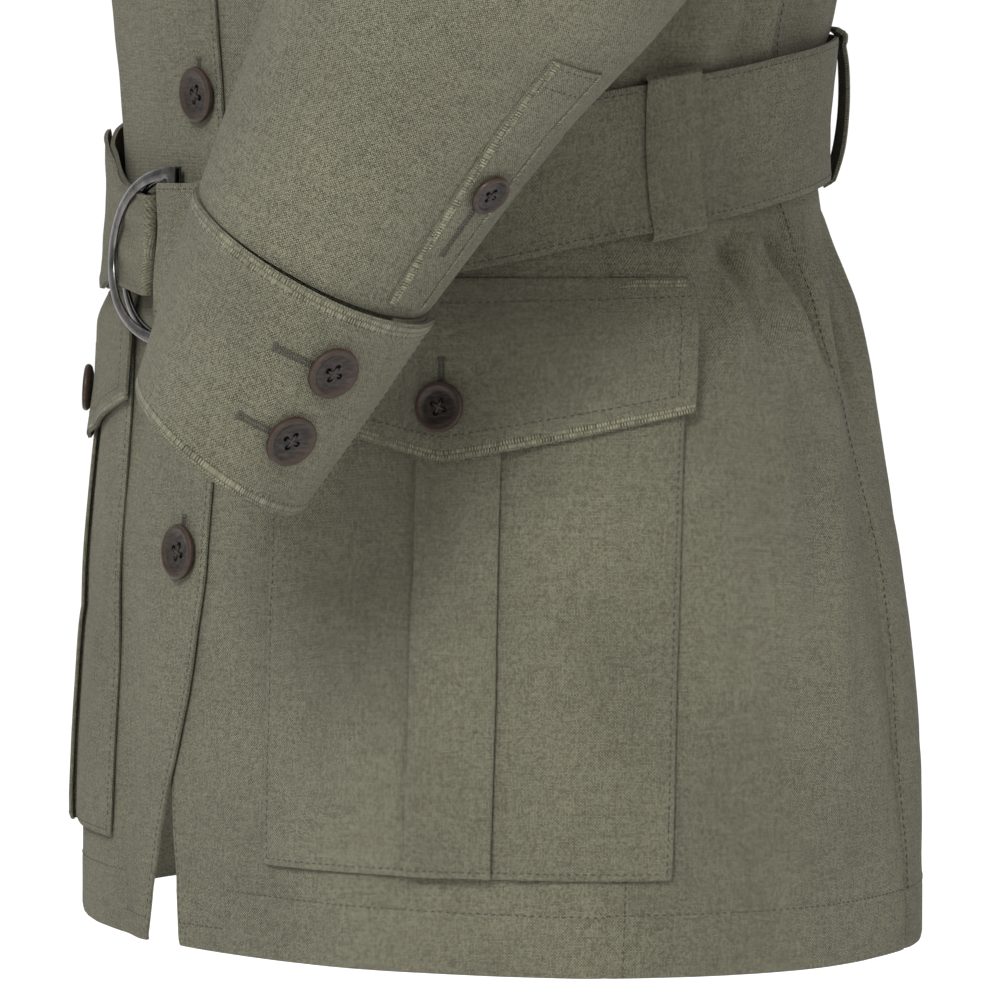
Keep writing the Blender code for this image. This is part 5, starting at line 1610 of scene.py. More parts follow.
    def cuff_point(self, along: float, round_it: float, out: float) -> Vector:
        """A point of the cuff, along from its seam to its end and round from its lap edge."""
        start, end = self.arm[-1], self.cuff
        first = start.way()
        middle = start.middle().lerp(end.middle(), along)
        run = first.lerp(end.way(), along).normalized()
        across = self.across_axes(first)[0].lerp(Vector(self.cuff_across), along).normalized()
        view = run.cross(across).normalized()
        half_across = start.across + (end.across - start.across) * along
        half_view = start.view + (end.view - start.view) * along
        lap = self.lap_out * (1 - ease((round_it - self.lap_full) / (self.lap_end - self.lap_full)))
        dent = self.cuff_uneven * noise.noise(Vector((round_it * 0.04, along * 1.6, self.sign * 7.0)))
        out = out + lap + self.proud + dent
        turn = math.radians(round_it)
        point = middle + across * math.cos(turn) * (half_across + out) + view * math.sin(turn) * (half_view + out)
        return mirrored(self.sign, point)


@dataclass
class Sleeves:
    """Both sleeves with their cuffs, plackets, buttons and buttonholes."""

    around: int = 84
    rings: int = 190
    wall: float = 1.1 * MM
    cuff_wall: float = 1.5 * MM
    cuff_under: float = 36
    placket_round: tuple[float, float] = (24, 48)
    placket_at: tuple[float, float] = (0.800, 0.992)
    placket_wall: float = 1.2 * MM
    cuff_buttons: tuple[float, float] = (0.294, 0.651)
    cuff_button_round: float = 56.5
    placket_button: tuple[float, float] = (0.913, 36)
    placket_out: float = 1.5 * MM
    placket_rolled: float = 0.6 * MM
    cuff_rolled: float = 0.45 * MM
    roll_reach: float = 1.2 * MM
    seam_depth: float = 0.7 * MM
    end_depth: float = 0.5 * MM
    turn_reach: float = 1.6 * MM

    def build_sleeve(self, form: SleeveForm) -> None:
        """Makes one sleeve, its seam turned to the underside."""

        def place(u: float, v: float, out: float) -> Vector:
            """A point of the sleeve, turned in at its seam and its end."""
            turn = math.pi + math.tau * (u % 1.0)
            seam = min(u % 1.0, 1 - u % 1.0) * 0.34
            dip = self.seam_depth * bell(seam, self.turn_reach)
            end = self.end_depth * bell((1 - v) * 0.6, self.turn_reach)
            return mirrored(form.sign, form.surface(v, turn, out - dip - end))

        across = crowded(self.around, (0.003, 0.007, 0.012))
        up = crowded(self.rings, (0.002, 0.005, 0.009))
        sheet = Sheet(f"{form.word}_sleeve_cloth", place, across, up, self.wall, 0.5, closed=True, stitched="t")
        sheet.grain = form.sign * 0.83
        MAKER.cloth([sheet], LINEN, [f"{form.word}_sleeve"])

    def cuff_place(self, form: SleeveForm) -> Place:
        """The cuff's surface, round from its lap edge and up from its end."""
        whole = 360 + self.cuff_under

        def place(u: float, v: float, out: float) -> Vector:
            """A point of the cuff, rolled in at its edges."""
            near = min(v, 1 - v) * 0.072
            edge = min(u, 1 - u) * 0.3
            roll = self.cuff_rolled * (bell(near, self.roll_reach) + bell(edge, self.roll_reach))
            return form.cuff_point(1 - v * 0.996, whole * u, out - roll)

        return place

    def build_cuff(self, form: SleeveForm) -> None:
        """Makes one cuff with its stitched edges."""
        place = self.cuff_place(form)
        across, up = crowded(150, (0.002, 0.004, 0.008)), crowded(30, (0.012, 0.025, 0.045))
        sheet = Sheet(f"{form.word}_cuff_cloth", place, across, up, self.cuff_wall, 0.5, stitched="lrbt", inset=2 * MM)
        sheet.grain = form.sign * 1.17
        MAKER.cloth([sheet], LINEN, [f"{form.word}_cuff"])
        sewing = Stitching(f"{form.word}_cuff_stitches")
        sewing.along(place, (0.012, 0.06), (0.012, 0.94), 40)
        sewing.along(place, (0.012, 0.06), (0.985, 0.06), 200)
        sewing.along(place, (0.012, 0.94), (0.985, 0.94), 200)
        sewing.make()

    def build_placket(self, form: SleeveForm) -> None:
        """Makes the strip sewn over the sleeve's opening."""
        start, end = self.placket_at[1], self.placket_at[0]
        first, last = self.placket_round

        def place(u: float, v: float, out: float) -> Vector:
            """A point of the placket, laid over the sleeve."""
            edge = min(u, 1 - u) * 0.022
            top = (1 - v) * 0.085
            lift = self.placket_out - self.placket_rolled * (bell(edge, MM) + bell(top, MM))
            return form.from_lap(start + (end - start) * v, first + (last - first) * u, out + lift)

        sheet = Sheet(
            f"{form.word}_placket_cloth",
            place,
            crowded(16, (0.02, 0.045, 0.08)),
            crowded(50, (0.006, 0.013, 0.022)),
            self.placket_wall,
            0.5,
            stitched="lrt",
            inset=2 * MM,
            grain=form.sign * 0.61,
        )
        MAKER.cloth([sheet], LINEN, [f"{form.word}_placket"], Held.STRETCHED)
        sewing = Stitching(f"{form.word}_placket_stitches")
        for u in (0.09, 0.91):
            sewing.along(place, (u, 0.02), (u, 0.975), 60)
        for v in (0.975, 0.86):
            sewing.along(place, (0.09, v), (0.91, v), 12)
        sewing.make()

    def build_fastenings(self, form: SleeveForm) -> None:
        """Makes the cuff's and the placket's buttons and buttonholes."""

        def cuff(along: float, round_it: float) -> Vector:
            """A point of the cuff's outer face."""
            return form.cuff_point(along, round_it, 0.0)

        def placket(at: float, round_it: float) -> Vector:
            """A point of the placket's outer face."""
            return form.from_lap(at, round_it, self.placket_out)

        for number, along in enumerate(self.cuff_buttons, 1):
            spot = (along, self.cuff_button_round)
            BUTTONS.make(f"{form.word}_cuff_button_{number}", cuff, spot, (0.03, 5), CUFF_BUTTON, -form.sign)
            end = (spot[0] + 0.02, spot[1] + 27)
            BUTTONS.hole(f"{form.word}_cuff_buttonhole_{number}", cuff, spot, end, -form.sign)
        at, round_it = self.placket_button
        BUTTONS.make(f"{form.word}_placket_button", placket, (at, round_it), (0.01, 5), PLACKET_BUTTON, -form.sign)
        end = (at + 0.043, round_it + 1)
        BUTTONS.hole(f"{form.word}_placket_buttonhole", placket, (at, round_it), end, -form.sign)

    def build(self) -> None:
        """Makes both arms."""
        ways = (
            ("left", 1, LEFT_ARM, LEFT_CUFF, (0.497, 0.709, -0.500), (0.450, 0.643, -0.620), LEFT_CREASES),
            ("right", -1, RIGHT_ARM, RIGHT_CUFF, (0.300, 0.954, 0.0), (0.300, 0.945, -0.130), RIGHT_CREASES),
        )
        for way in ways:
            form = SleeveForm(*way)
            self.build_sleeve(form)
            self.build_cuff(form)
            self.build_placket(form)
            self.build_fastenings(form)


@dataclass
class Buttons:
    """Four-hole horn buttons with a raised rim, the crossed thread that holds them, and their buttonholes."""

    sides: int = 40
    lift: float = 0.5 * MM
    hole_out: float = 0.27
    hole_radius: float = 0.12
    felt: float = 0.02
    well_depth: float = 0.45
    hole_steps: int = 24
    hole_stitch: tuple[float, float] = (0.75 * MM, 0.22 * MM)
    bar_stitch: tuple[float, float, float] = (0.95 * MM, 0.28 * MM, 0.30 * MM)
    bar_pitch: float = 0.5 * MM
    profile: tuple[tuple[float, float], ...] = (
        (0.70, 0.00),
        (0.90, 0.18),
        (0.985, 0.42),
        (1.00, 0.60),
        (0.985, 0.82),
        (0.93, 0.97),
        (0.86, 1.00),
        (0.79, 0.96),
        (0.73, 0.82),
        (0.68, 0.70),
        (0.56, 0.66),
    )

    def facing(self, surface: Callable, spot: tuple[float, float], reach: tuple[float, float]) -> Vector:
        """The way a surface faces at a spot, out of the side that its coordinates turn round."""
        first, second = spot
        along = surface(first + reach[0], second) - surface(first - reach[0], second)
        beside = surface(first, second + reach[1]) - surface(first, second - reach[1])
        return along.cross(beside).normalized()

    def make(
        self,
        name: str,
        surface: Callable,
        spot: tuple[float, float],
        reach: tuple[float, float],
        size: Button,
        sign: int = 1,
        lift: float | None = None,
    ) -> None:
        """Makes a button in place of its solid, with its thread.

        Args:
            name: The solid's name.
            surface: The cloth it is sewn on, by two coordinates.
            spot: Where it is sewn.
            reach: How far each way the cloth is felt for the way it faces.
            size: The button's size.
            sign: -1 where the coordinates turn the other way round.
            lift: How far it stands off the cloth.
        """
        way = self.facing(surface, spot, reach) * sign
        point = surface(*spot) + way * (self.lift if lift is None else lift)
        turn = (way.to_track_quat("Z", "Y").to_matrix() @ Matrix.Rotation(0.35, 3, "Z")).to_4x4()
        place = Matrix.Translation(point) @ turn
        shape = bmesh.new()
        rim = shape.verts.layers.float.new("rim")
        chain = [shape.verts.new((radius * size.radius, 0, height * size.height)) for radius, height in self.profile]
        edges = [shape.edges.new(pair) for pair in zip(chain, chain[1:])]
        bmesh.ops.spin(
            shape,
            geom=[*chain, *edges],
            cent=(0, 0, 0),
            axis=(0, 0, 1),
            angle=math.tau,
            steps=self.sides,
            use_merge=True,
        )
        bmesh.ops.remove_doubles(shape, verts=shape.verts, dist=0.01 * MM)
        open_edges = [edge for edge in shape.edges if edge.is_boundary]
        floor = self.profile[-1][1] * size.height
        low = [edge for edge in open_edges if edge.verts[0].co.z < floor / 2]
        high = [edge for edge in open_edges if edge.verts[0].co.z >= floor / 2]
        bmesh.ops.edgeloop_fill(shape, edges=low)
        wells = []
        for corner in range(4):
            angle = math.pi / 4 + corner * math.pi / 2
            at = Vector((math.cos(angle), math.sin(angle), 0)) * self.hole_out * size.radius + Vector((0, 0, floor))
            ring = bmesh.ops.create_circle(
                shape, segments=10, radius=self.hole_radius * size.radius, matrix=Matrix.Translation(at)
            )["verts"]
            wells.append(list(dict.fromkeys(edge for vert in ring for edge in vert.link_edges)))
        bmesh.ops.triangle_fill(shape, use_beauty=True, edges=high + [edge for well in wells for edge in well])
        for well in wells:
            made = bmesh.ops.extrude_edge_only(shape, edges=well)["geom"]
            sunk = [vert for vert in made if isinstance(vert, bmesh.types.BMVert)]
            bmesh.ops.translate(shape, verts=sunk, vec=(0, 0, -self.well_depth * size.height))
            bmesh.ops.edgeloop_fill(shape, edges=[edge for edge in made if isinstance(edge, bmesh.types.BMEdge)])
        bmesh.ops.recalc_face_normals(shape, faces=shape.faces)
        for vert in shape.verts:
            vert[rim] = ease((math.hypot(vert.co.x, vert.co.y) / size.radius - 0.60) / 0.25)
        bmesh.ops.transform(shape, matrix=place, verts=shape.verts)
        MAKER.finish(f"{name}_horn", shape, HORN, [name], 35.0)
        self.thread(name, place, size, floor)

    def thread(self, name: str, place: Matrix, size: Button, floor: float) -> None:
        """Makes the crossed thread over a button's holes."""
        shape = bmesh.new()
        for number, angle in enumerate((math.pi / 4, -math.pi / 4)):
            along = Matrix.Rotation(angle, 4, "Z")
            grow = Matrix.Diagonal((self.hole_out * size.radius * 1.05, 0.42 * MM, 0.40 * MM, 1))
            at = Matrix.Translation((0, 0, floor + (0.10 + 0.22 * number) * MM))
            bmesh.ops.create_uvsphere(shape, u_segments=10, v_segments=8, radius=1.0, matrix=place @ at @ along @ grow)
        MAKER.finish(f"{name}_thread", shape, DARK_THREAD, sharp=180.0)

    def hole(
        self,
        name: str,
        surface: Callable,
        start: tuple[float, float],
        end: tuple[float, float],
        sign: int = 1,
        reach: tuple[float, float] | None = None,
    ) -> None:
        """Makes a buttonhole: close stitches either side of a slit, from under the button to its bar.

        Args:
            name: The piece's name.
            surface: The cloth, by two coordinates.
            start: The end under the button.
            end: The end with the bar.
            sign: -1 where the coordinates turn the other way round.
            reach: How far each way the cloth is felt for the way it faces, where both coordinates are metres.
        """
        shape = bmesh.new()
        points = [
            surface(start[0] + (end[0] - start[0]) * share, start[1] + (end[1] - start[1]) * share)
            for share in steps(0, 1, self.hole_steps)
        ]
        up = self.facing(surface, end, reach or ((abs(end[0]) + self.felt) * self.felt, 1.0)) * sign

        def stitch(middle: Vector, axes: tuple[Vector, Vector, Vector], size: tuple[float, float, float]) -> None:
            """Adds one stitch, by its middle, its axes and its half sizes."""
            turned = Matrix(axes).transposed().to_4x4() @ Matrix.Diagonal((*size, 1))
            bmesh.ops.create_icosphere(shape, subdivisions=1, radius=1.0, matrix=Matrix.Translation(middle) @ turned)

        half_wide, half_high = self.hole_stitch
        for before, after in zip(points, points[1:]):
            run = (after - before).normalized()
            beside = run.cross(up).normalized()
            for way in (-1, 1):
                middle = (before + after) / 2 + beside * way * half_wide + up * 0.15 * MM
                size = (half_wide, (after - before).length * 0.50, half_high)
                stitch(middle, (beside, run, run.cross(beside) * -1), size)
        run = (points[-1] - points[-2]).normalized()
        beside = run.cross(up).normalized()
        for step in range(-3, 4):
            stitch(points[-1] + beside * step * self.bar_pitch, (run, beside, run.cross(beside)), self.bar_stitch)
        MAKER.finish(name, shape, BUTTONHOLE, sharp=180.0)

    def build_front(self) -> None:
        """Makes the buttons down the front and their upright buttonholes."""

        def surface(x: float, z: float) -> Vector:
            """A point of the lapped front."""
            return FORM.front_point(x, z, LAP)

        for number, spot in enumerate(FRONT_BUTTONS, 1):
            self.make(f"front_button_{number}", surface, (spot.x, spot.z), (5 * MM, 5 * MM), FRONT_BUTTON, 1, spot.lift)
            ends = ((spot.x, spot.z), (spot.x, spot.z + 13 * MM))
            self.hole(f"front_buttonhole_{number}", surface, *ends, reach=(MM, MM))


BUTTONS = Buttons()


@dataclass
class Pockets:
    """The patch pockets with their box pleats, and their pointed flaps."""

    top_z: float = -0.4695
    bottom_z: float = -0.6605
    flap_top_z: float = -0.4505
    flap_end_z: float = -0.4975
    flap_point_z: float = -0.5150
    flap_clear_z: float = -0.4680
    button_z: float = -0.4955
    point_aside: float = -2.2
    wall: float = 1.0 * MM
    base_out: float = 2.3 * MM
    layer: float = 1.5 * MM
    tuck: float = 3.0 * MM
    flap_wall: float = 1.2 * MM
    flap_out: float = 4.6 * MM
    flap_seam_out: float = 1.3 * MM
    flap_free: float = 1.1 * MM
    uneven: float = 0.5 * MM
    flap_rolled: float = 0.5 * MM
    foot_turned_in: float = 0.7 * MM
    over_pleat: float = 2.5 * MM
    past_pocket: float = 1.1

    def pleat(self, distance: float, edge_out: float) -> list[tuple[float, float]]:
        """The cross-section of a pleat's edge, from the base under it to its top, as distances in and out.

        Args:
            distance: How far into the pleat the last point lies.
            edge_out: How far off the body the base lies.

        Returns:
            Pairs of distance inward from the edge and distance out from the base.
        """
        radius = self.layer / 2
        turns = [math.radians(turn) for turn in (-90, -45, 0, 45, 90)]
        bends = [(self.tuck + radius * math.cos(turn), edge_out + radius + radius * math.sin(turn)) for turn in turns]
        bends += [(radius - radius * math.cos(turn), edge_out + 3 * radius + radius * math.sin(turn)) for turn in turns]
        return [*bends, (distance, edge_out + 4 * radius)]

    def section(self) -> list[tuple[float, float, float]]:
        """The pocket's cross-section as share of the way between its edge lines, plus millimetres, and height.

        Returns:
            Rows of (line number and share between lines, distance added, distance out).
        """
        base = self.base_out
        rows = [(0.0, 0.0, base - 0.7 * MM), (0.0, 0.7 * MM, base - 0.15 * MM), (0.0, 2.0 * MM, base)]
        rows += [(share, 0.0, base + 0.3 * MM) for share in steps(0.08, 0.94, 14)]
        rows += [(1.0, inward, out) for inward, out in self.pleat(4.5 * MM, base)]
        rows += [(1.0 + share, 0.0, base + 2 * self.layer) for share in steps(0.42, 0.58, 3)]
        rows += [(2.0, -inward, out) for inward, out in reversed(self.pleat(4.5 * MM, base))]
        rows += [(2.0 + share, 0.0, base + 0.3 * MM) for share in steps(0.06, 0.92, 14)]
        rows += [(3.0, -2.0 * MM, base), (3.0, -0.7 * MM, base - 0.15 * MM), (3.0, 0.0, base - 0.7 * MM)]
        return rows

    def place(self, side: int) -> Place:
        """The pocket's surface, across from its front edge and up from its bottom."""
        rows = self.section()

        def surface(u: float, v: float, out: float) -> Vector:
            """A point of the pocket, on its cross-section at a height."""
            z = self.bottom_z + (self.top_z - self.bottom_z) * v
            line = between(POCKET, z)
            lines = (line.front, line.pleat_front, line.pleat_back, line.back)
            at = u * (len(rows) - 1)
            index = min(int(at), len(rows) - 2)
            part = at - index
            spots = []
            for key, added, off in (rows[index], rows[index + 1]):
                number = min(int(key), 2)
                angle = lines[number] + (lines[number + 1] - lines[number]) * (key - number)
                spots.append((angle + added / WAIST_ARC, off))
            angle = spots[0][0] + (spots[1][0] - spots[0][0]) * part
            off = spots[0][1] + (spots[1][1] - spots[0][1]) * part
            off -= self.foot_turned_in * bell(z - self.bottom_z, MM)
            spot = Vector((angle * 0.09, z * 30, side * 2.0))
            off += self.uneven * noise.noise(spot) * ease((z - self.bottom_z) / 0.01)
            return FORM.over_folds(side, angle, z, out + off)

        return surface

    def flap_lines(self, z: float) -> tuple[float, float, float]:
        """The flap's front edge, point and back edge at a height, in degrees."""
        line = between(POCKET, z)
        middle = (line.pleat_front + line.pleat_back) / 2 + self.point_aside
        return line.front - self.past_pocket, middle, line.back + self.past_pocket

    def flap_place(self, side: int) -> Place:
        """The flap's surface, across from its front edge and up from its pointed one."""

        def surface(u: float, v: float, out: float) -> Vector:
            """A point of the flap, over the pleat and free at its lower edge."""
            front, middle, back = self.flap_lines(self.flap_end_z)
            start = front + (back - front) * u
            reach = abs((start - middle) / ((front if start < middle else back) - middle))
            low = self.flap_point_z + (self.flap_end_z - self.flap_point_z) * reach
            z = low + (self.flap_top_z - low) * v
            front, middle, back = self.flap_lines(max(z, self.flap_end_z))
            angle = front + (back - front) * u
            line = between(POCKET, z)
            rise = ease((angle - line.pleat_front + 5) / 6) * (1 - ease((angle - line.pleat_back - 1) / 6))
            down = ease((self.flap_top_z - z) / (self.flap_top_z - self.flap_clear_z + 3 * MM))
            off = self.flap_seam_out + (self.flap_out - self.flap_seam_out + self.over_pleat * rise) * down
            free = ease((z - low) / (26 * MM))
            off += self.flap_free * (1 - free)
            edge = min(angle - front, back - angle) * WAIST_ARC
            near = min(edge, z - low, self.flap_top_z - z)
            off -= self.flap_rolled * bell(near, MM)
            off += self.uneven * noise.noise(Vector((angle * 0.12, z * 34, side * 5.0)))
            return FORM.over_folds(side, angle, z, out + off)

        return surface

    def build(self) -> None:
        """Makes both pockets and flaps, with their stitching, buttons and buttonholes."""
        count = len(self.section()) - 1
        for side, word in ((1, "left"), (-1, "right")):
            place = self.place(side)
            across = steps(0, 1, count * 2)
            up = crowded(70, (0.004, 0.008, 0.014))
            sheet = Sheet(f"{word}_pocket_cloth", place, across, up, self.wall, stitched="lrb", inset=2 * MM)
            sheet.grain = side * 0.11
            MAKER.cloth([sheet], LINEN, [f"{word}_pocket"], Held.STRETCHED)
            sewing = Stitching(f"{word}_pocket_stitches")
            edge = 2.0 / count
            sewing.along(place, (edge, 0.012), (edge, 0.99), 90)
            sewing.along(place, (1 - edge, 0.012), (1 - edge, 0.99), 90)
            sewing.along(place, (edge, 0.012), (1 - edge, 0.012), 160)
            sewing.make()
            flap = self.flap_place(side)
            across, up = crowded(72, (0.005, 0.010, 0.018)), crowded(30, (0.012, 0.03, 0.05))
            sheet = Sheet(f"{word}_flap_cloth", flap, across, up, self.flap_wall, 0.5, stitched="lrbt")
            sheet.grain = side * 0.47
            MAKER.cloth([sheet], LINEN, [f"{word}_flap"], Held.DRAPED)
            sewing = Stitching(f"{word}_flap_stitches")
            sewing.along(flap, (0.045, 0.13), (0.955, 0.15), 120)
            sewing.along(flap, (0.955, 0.15), (0.955, 0.865), 50)
            sewing.along(flap, (0.045, 0.13), (0.045, 0.865), 50)
            sewing.along(flap, (0.0, 0.865), (1.0, 0.865), 120)
            sewing.make()
            self.fasten(side, word)

    def fasten(self, side: int, word: str) -> None:
        """Makes a flap's button and its upright buttonhole."""
        line = between(POCKET, self.button_z)
        middle = (line.pleat_front + line.pleat_back) / 2 + self.point_aside
        off = self.flap_out + self.over_pleat

        def surface(angle: float, z: float) -> Vector:
            """A point of the flap's face."""
            return FORM.over_folds(side, angle, z, off)

        spot = (middle, self.button_z)
        BUTTONS.make(f"{word}_pocket_button", surface, spot, (3, 5 * MM), POCKET_BUTTON, side, 0.9 * MM)

        def upright(z: float, angle: float) -> Vector:
            """A point of the flap's face, its height first."""
            return FORM.over_folds(side, angle, z, off + 0.1 * MM)

        ends = ((self.button_z, middle), (self.button_z + 17 * MM, middle + 0.4))
        BUTTONS.hole(f"{word}_pocket_buttonhole", upright, *ends, -side)


@dataclass
class Belt:
    """The belt turned round the ring bars with its tail between the rings, its four loops and the two D rings."""

    half: float = 26 * MM
    pinched_half: float = 18.5 * MM
    pinch_start: float = 238
    pinch_turn: float = 14
    bar_pinch: float = 1.6 * MM
    wall: float = 1.5 * MM
    middle: float = LAP + 1.8 * MM
    bar_round: float = 3.6 * MM
    tail_round: float = 1.95 * MM
    loop_half: float = 4.7
    loop_wall: float = 1.2 * MM
    gathered: float = 0.9 * MM
    sagged: float = 0.9 * MM
    crumpled: float = 0.35 * MM
    front_wave: float = 0.5 * MM
    sunk_most: float = 0.7 * MM
    loop_sink: float = 0.2 * MM
    loop_rolled: float = 0.4 * MM
    loop_bow: float = 0.35 * MM
    loop_uneven: float = 0.3 * MM
    ring_height: float = 66 * MM
    ring_width: float = 48 * MM
    ring_strip: float = 5.0 * MM
    ring_gauge: float = 1.7 * MM
    ring_middle_z: float = -0.4440
    ring_bar_x: float = -1.4 * MM
    ring_around: int = 12
    ring_along: int = 96
    ring_bar: int = 24
    ring_squareness: float = 0.72

    def fold_over(self, angle: float, low: float, radius: float, way: int) -> list[tuple[float, float]]:
        """A half turn of the belt back over itself."""
        bend = []
        for turn in steps(-90, 90, 9):
            turn = math.radians(turn)
            forward = way * math.cos(turn) * radius / WAIST_ARC
            bend.append((angle + forward, low + radius + radius * math.sin(turn)))
        return bend

    def path(self) -> list[tuple[float, float]]:
        """The middle of the belt's cloth, as degrees round the body and distances out."""
        low = self.middle - 0.5 * MM
        high = low + 2 * self.bar_round
        path = [(-82.6, low), (-87.2, low), (-92.2, low)]
        path += self.fold_over(-92.6, low, self.bar_round, -1)
        path += [(-92.2, high), (-89.3, high), (-87.5, 9.6 * MM), (-85.7, 8.6 * MM), (-82.1, 6.6 * MM)]
        path += [(-80.2, 5.75 * MM), (-78.5, 5.1 * MM), (-75.5, 4.75 * MM)]
        path += [(angle, self.middle) for angle in steps(-72, 252, 240)]
        path += [(257, self.middle)]
        path += self.fold_over(261, self.middle, self.tail_round, 1)
        top = self.middle + 2 * self.tail_round
        over = self.middle + 2.1 * MM
        path += [(257, top), (255, top), (253.5, top), (250, top), (247.5, 8.2 * MM), (245.5, 7.3 * MM)]
        path += [(243, 6.8 * MM), (241, over)]
        path += [(angle, over) for angle in steps(239, 224, 12)]
        return path

    def place(self) -> Place:
        """The belt's surface, along its path and up from its lower edge."""
        path = self.path()

        def surface(u: float, v: float, out: float) -> Vector:
            """A point of the belt, off its middle line along the path."""
            at = u * (len(path) - 1)
            index = min(int(at), len(path) - 2)
            part = at - index
            before, after = path[index], path[index + 1]
            first, last = path[max(index - 1, 0)], path[min(index + 2, len(path) - 1)]
            angle = before[0] + (after[0] - before[0]) * part
            off = before[1] + (after[1] - before[1]) * part
            low = Vector(((after[0] - first[0]) * WAIST_ARC, after[1] - first[1])).normalized()
            high = Vector(((last[0] - before[0]) * WAIST_ARC, last[1] - before[1])).normalized()
            along = low.lerp(high, part).normalized()
            share = v * 2 - 1
            reach = out + self.wall / 2 - ROLLED * bell((1 - abs(share)) * self.half, MM)
            turned = angle - along.y * reach / WAIST_ARC
            pinch = ease((turned - self.pinch_start) / self.pinch_turn)
            half = self.half + (self.pinched_half - self.half) * pinch - self.bar_pinch * ease((-82 - turned) / 4)
            gather = self.gathered * pinch * math.sin(share * 7.5 + 0.6) * ease((262 - turned) / 6)
            near = ease((-60 - turned) / 20) * math.cos(share * 5.0 + turned * 0.05) * self.front_wave
            sag = self.sagged * noise.noise(Vector((turned * 0.055, share * 1.3, 3.0)))
            crumple = self.crumpled * noise.noise(Vector((turned * 0.16, share * 2.6, 8.0)))
            edge = MM * noise.noise(Vector((turned * 0.06, 1.7, 1.0)))
            z = FORM.belt_z(turned) + share * half + edge
            lift = max(gather + sag + crumple + near, -self.sunk_most)
            return FORM.body(turned, z, off + along.x * (reach + lift * abs(along.x)), False)

        return surface

    def loop_place(self, loop: Loop) -> Place:
        """A loop's surface, across its width and up from its foot."""
        rows = [(index, rise.height, rise.arched if loop.arched else rise.close) for index, rise in enumerate(RISES)]

        def surface(u: float, v: float, out: float) -> Vector:
            """A point of the loop, over the belt."""
            _, height, off = between(rows, v * (len(rows) - 1))
            angle = loop.angle + (u * 2 - 1) * self.loop_half
            edge = min(u, 1 - u) * 2 * self.loop_half * WAIST_ARC
            off += self.loop_wall - self.loop_rolled * bell(edge, MM) - self.loop_sink
            off += self.loop_bow * math.sin(u * math.pi)
            off += self.loop_uneven * noise.noise(Vector((u * 2, v * 4, loop.angle)))
            return FORM.body(angle, FORM.belt_z(angle) + height, out + off)

        return surface

    def ring_point(self, ring: Ring, turn: float, inset: float, out: float) -> Vector:
        """A point of a D ring: turn runs from the top of its bar round the curve to the bottom."""
        x = self.ring_bar_x - inset - (self.ring_width - 2 * inset) * math.sin(turn)
        z = self.ring_middle_z + (self.ring_height / 2 - inset) * math.cos(turn)
        share = (self.ring_bar_x - x) / self.ring_width
        angle = -90 + math.degrees(math.asin(x / section_at(z).half_width))
        return FORM.body(angle, z, ring.bar_out + (ring.curve_out - ring.bar_out) * share + out, False)

    def build_ring(self, ring: Ring) -> None:
        """Makes a D ring of rounded flat strip, bent from a bar's top round its curve and closed by its bar."""
        shape = bmesh.new()
        around, along, bar = self.ring_around, self.ring_along, self.ring_bar
        made = bmesh.ops.create_grid(shape, x_segments=around, y_segments=along, size=0.5)["verts"]

        curve = along - bar

        def spot(run: float) -> tuple[float, float]:
            """The turn of the ring and the share down its bar at a place along it."""
            number = run * along
            return (math.pi * number / curve, 0.0) if number <= curve else (math.pi, (number - curve) / bar)

        for vert in made:
            section = math.tau * (vert.co.x + 0.5)
            turn, down = spot(vert.co.y + 0.5)
            flat = Vector((math.cos(section), math.sin(section)))
            flat = flat / max(abs(flat.x), abs(flat.y)) ** self.ring_squareness
            inset = self.ring_strip / 2 * (1 - flat.x)
            out = self.ring_gauge / 2 * (1 + flat.y)
            point = self.ring_point(ring, turn, inset, out)
            if down > 0:
                point = point.lerp(self.ring_point(ring, 0.0, inset, out), down)
            vert.co = point
        bmesh.ops.remove_doubles(shape, verts=shape.verts, dist=0.02 * MM)
        bmesh.ops.recalc_face_normals(shape, faces=shape.faces)
        MAKER.finish(f"{ring.name}_metal", shape, NICKEL, [ring.name], 60.0)

    def build(self) -> None:
        """Makes the belt, its loops and rings, with their stitching."""
        place = self.place()
        across = steps(0, 1, (len(self.path()) - 1) * 2)
        up = crowded(18, (0.012, 0.03))
        sheet = Sheet("belt_cloth", place, across, up, self.wall, 0.0, stitched="bt", inset=2 * MM, grain=0.29)
        MAKER.cloth([sheet], LINEN, ["belt"], Held.DRAPED)
        sewing = Stitching("belt_stitches")
        for v in (0.045, 0.955):
            sewing.along(place, (0.0, v), (1.0, v), 700)
        sewing.make()
        for loop in LOOPS:
            surface = self.loop_place(loop)
            sheet = Sheet(f"{loop.name}_cloth", surface, crowded(12, (0.02, 0.05)), steps(0, 1, 48), self.loop_wall)
            sheet.stitched, sheet.inset, sheet.grain = "lr", 2 * MM, loop.angle * 0.01
            MAKER.cloth([sheet], LINEN, [loop.name], Held.DRAPED)
            sewing = Stitching(f"{loop.name}_stitches")
            for v in (0.10, 0.90):
                sewing.along(surface, (0.1, v), (0.9, v), 12)
            sewing.make()
        for ring in RINGS:
            self.build_ring(ring)


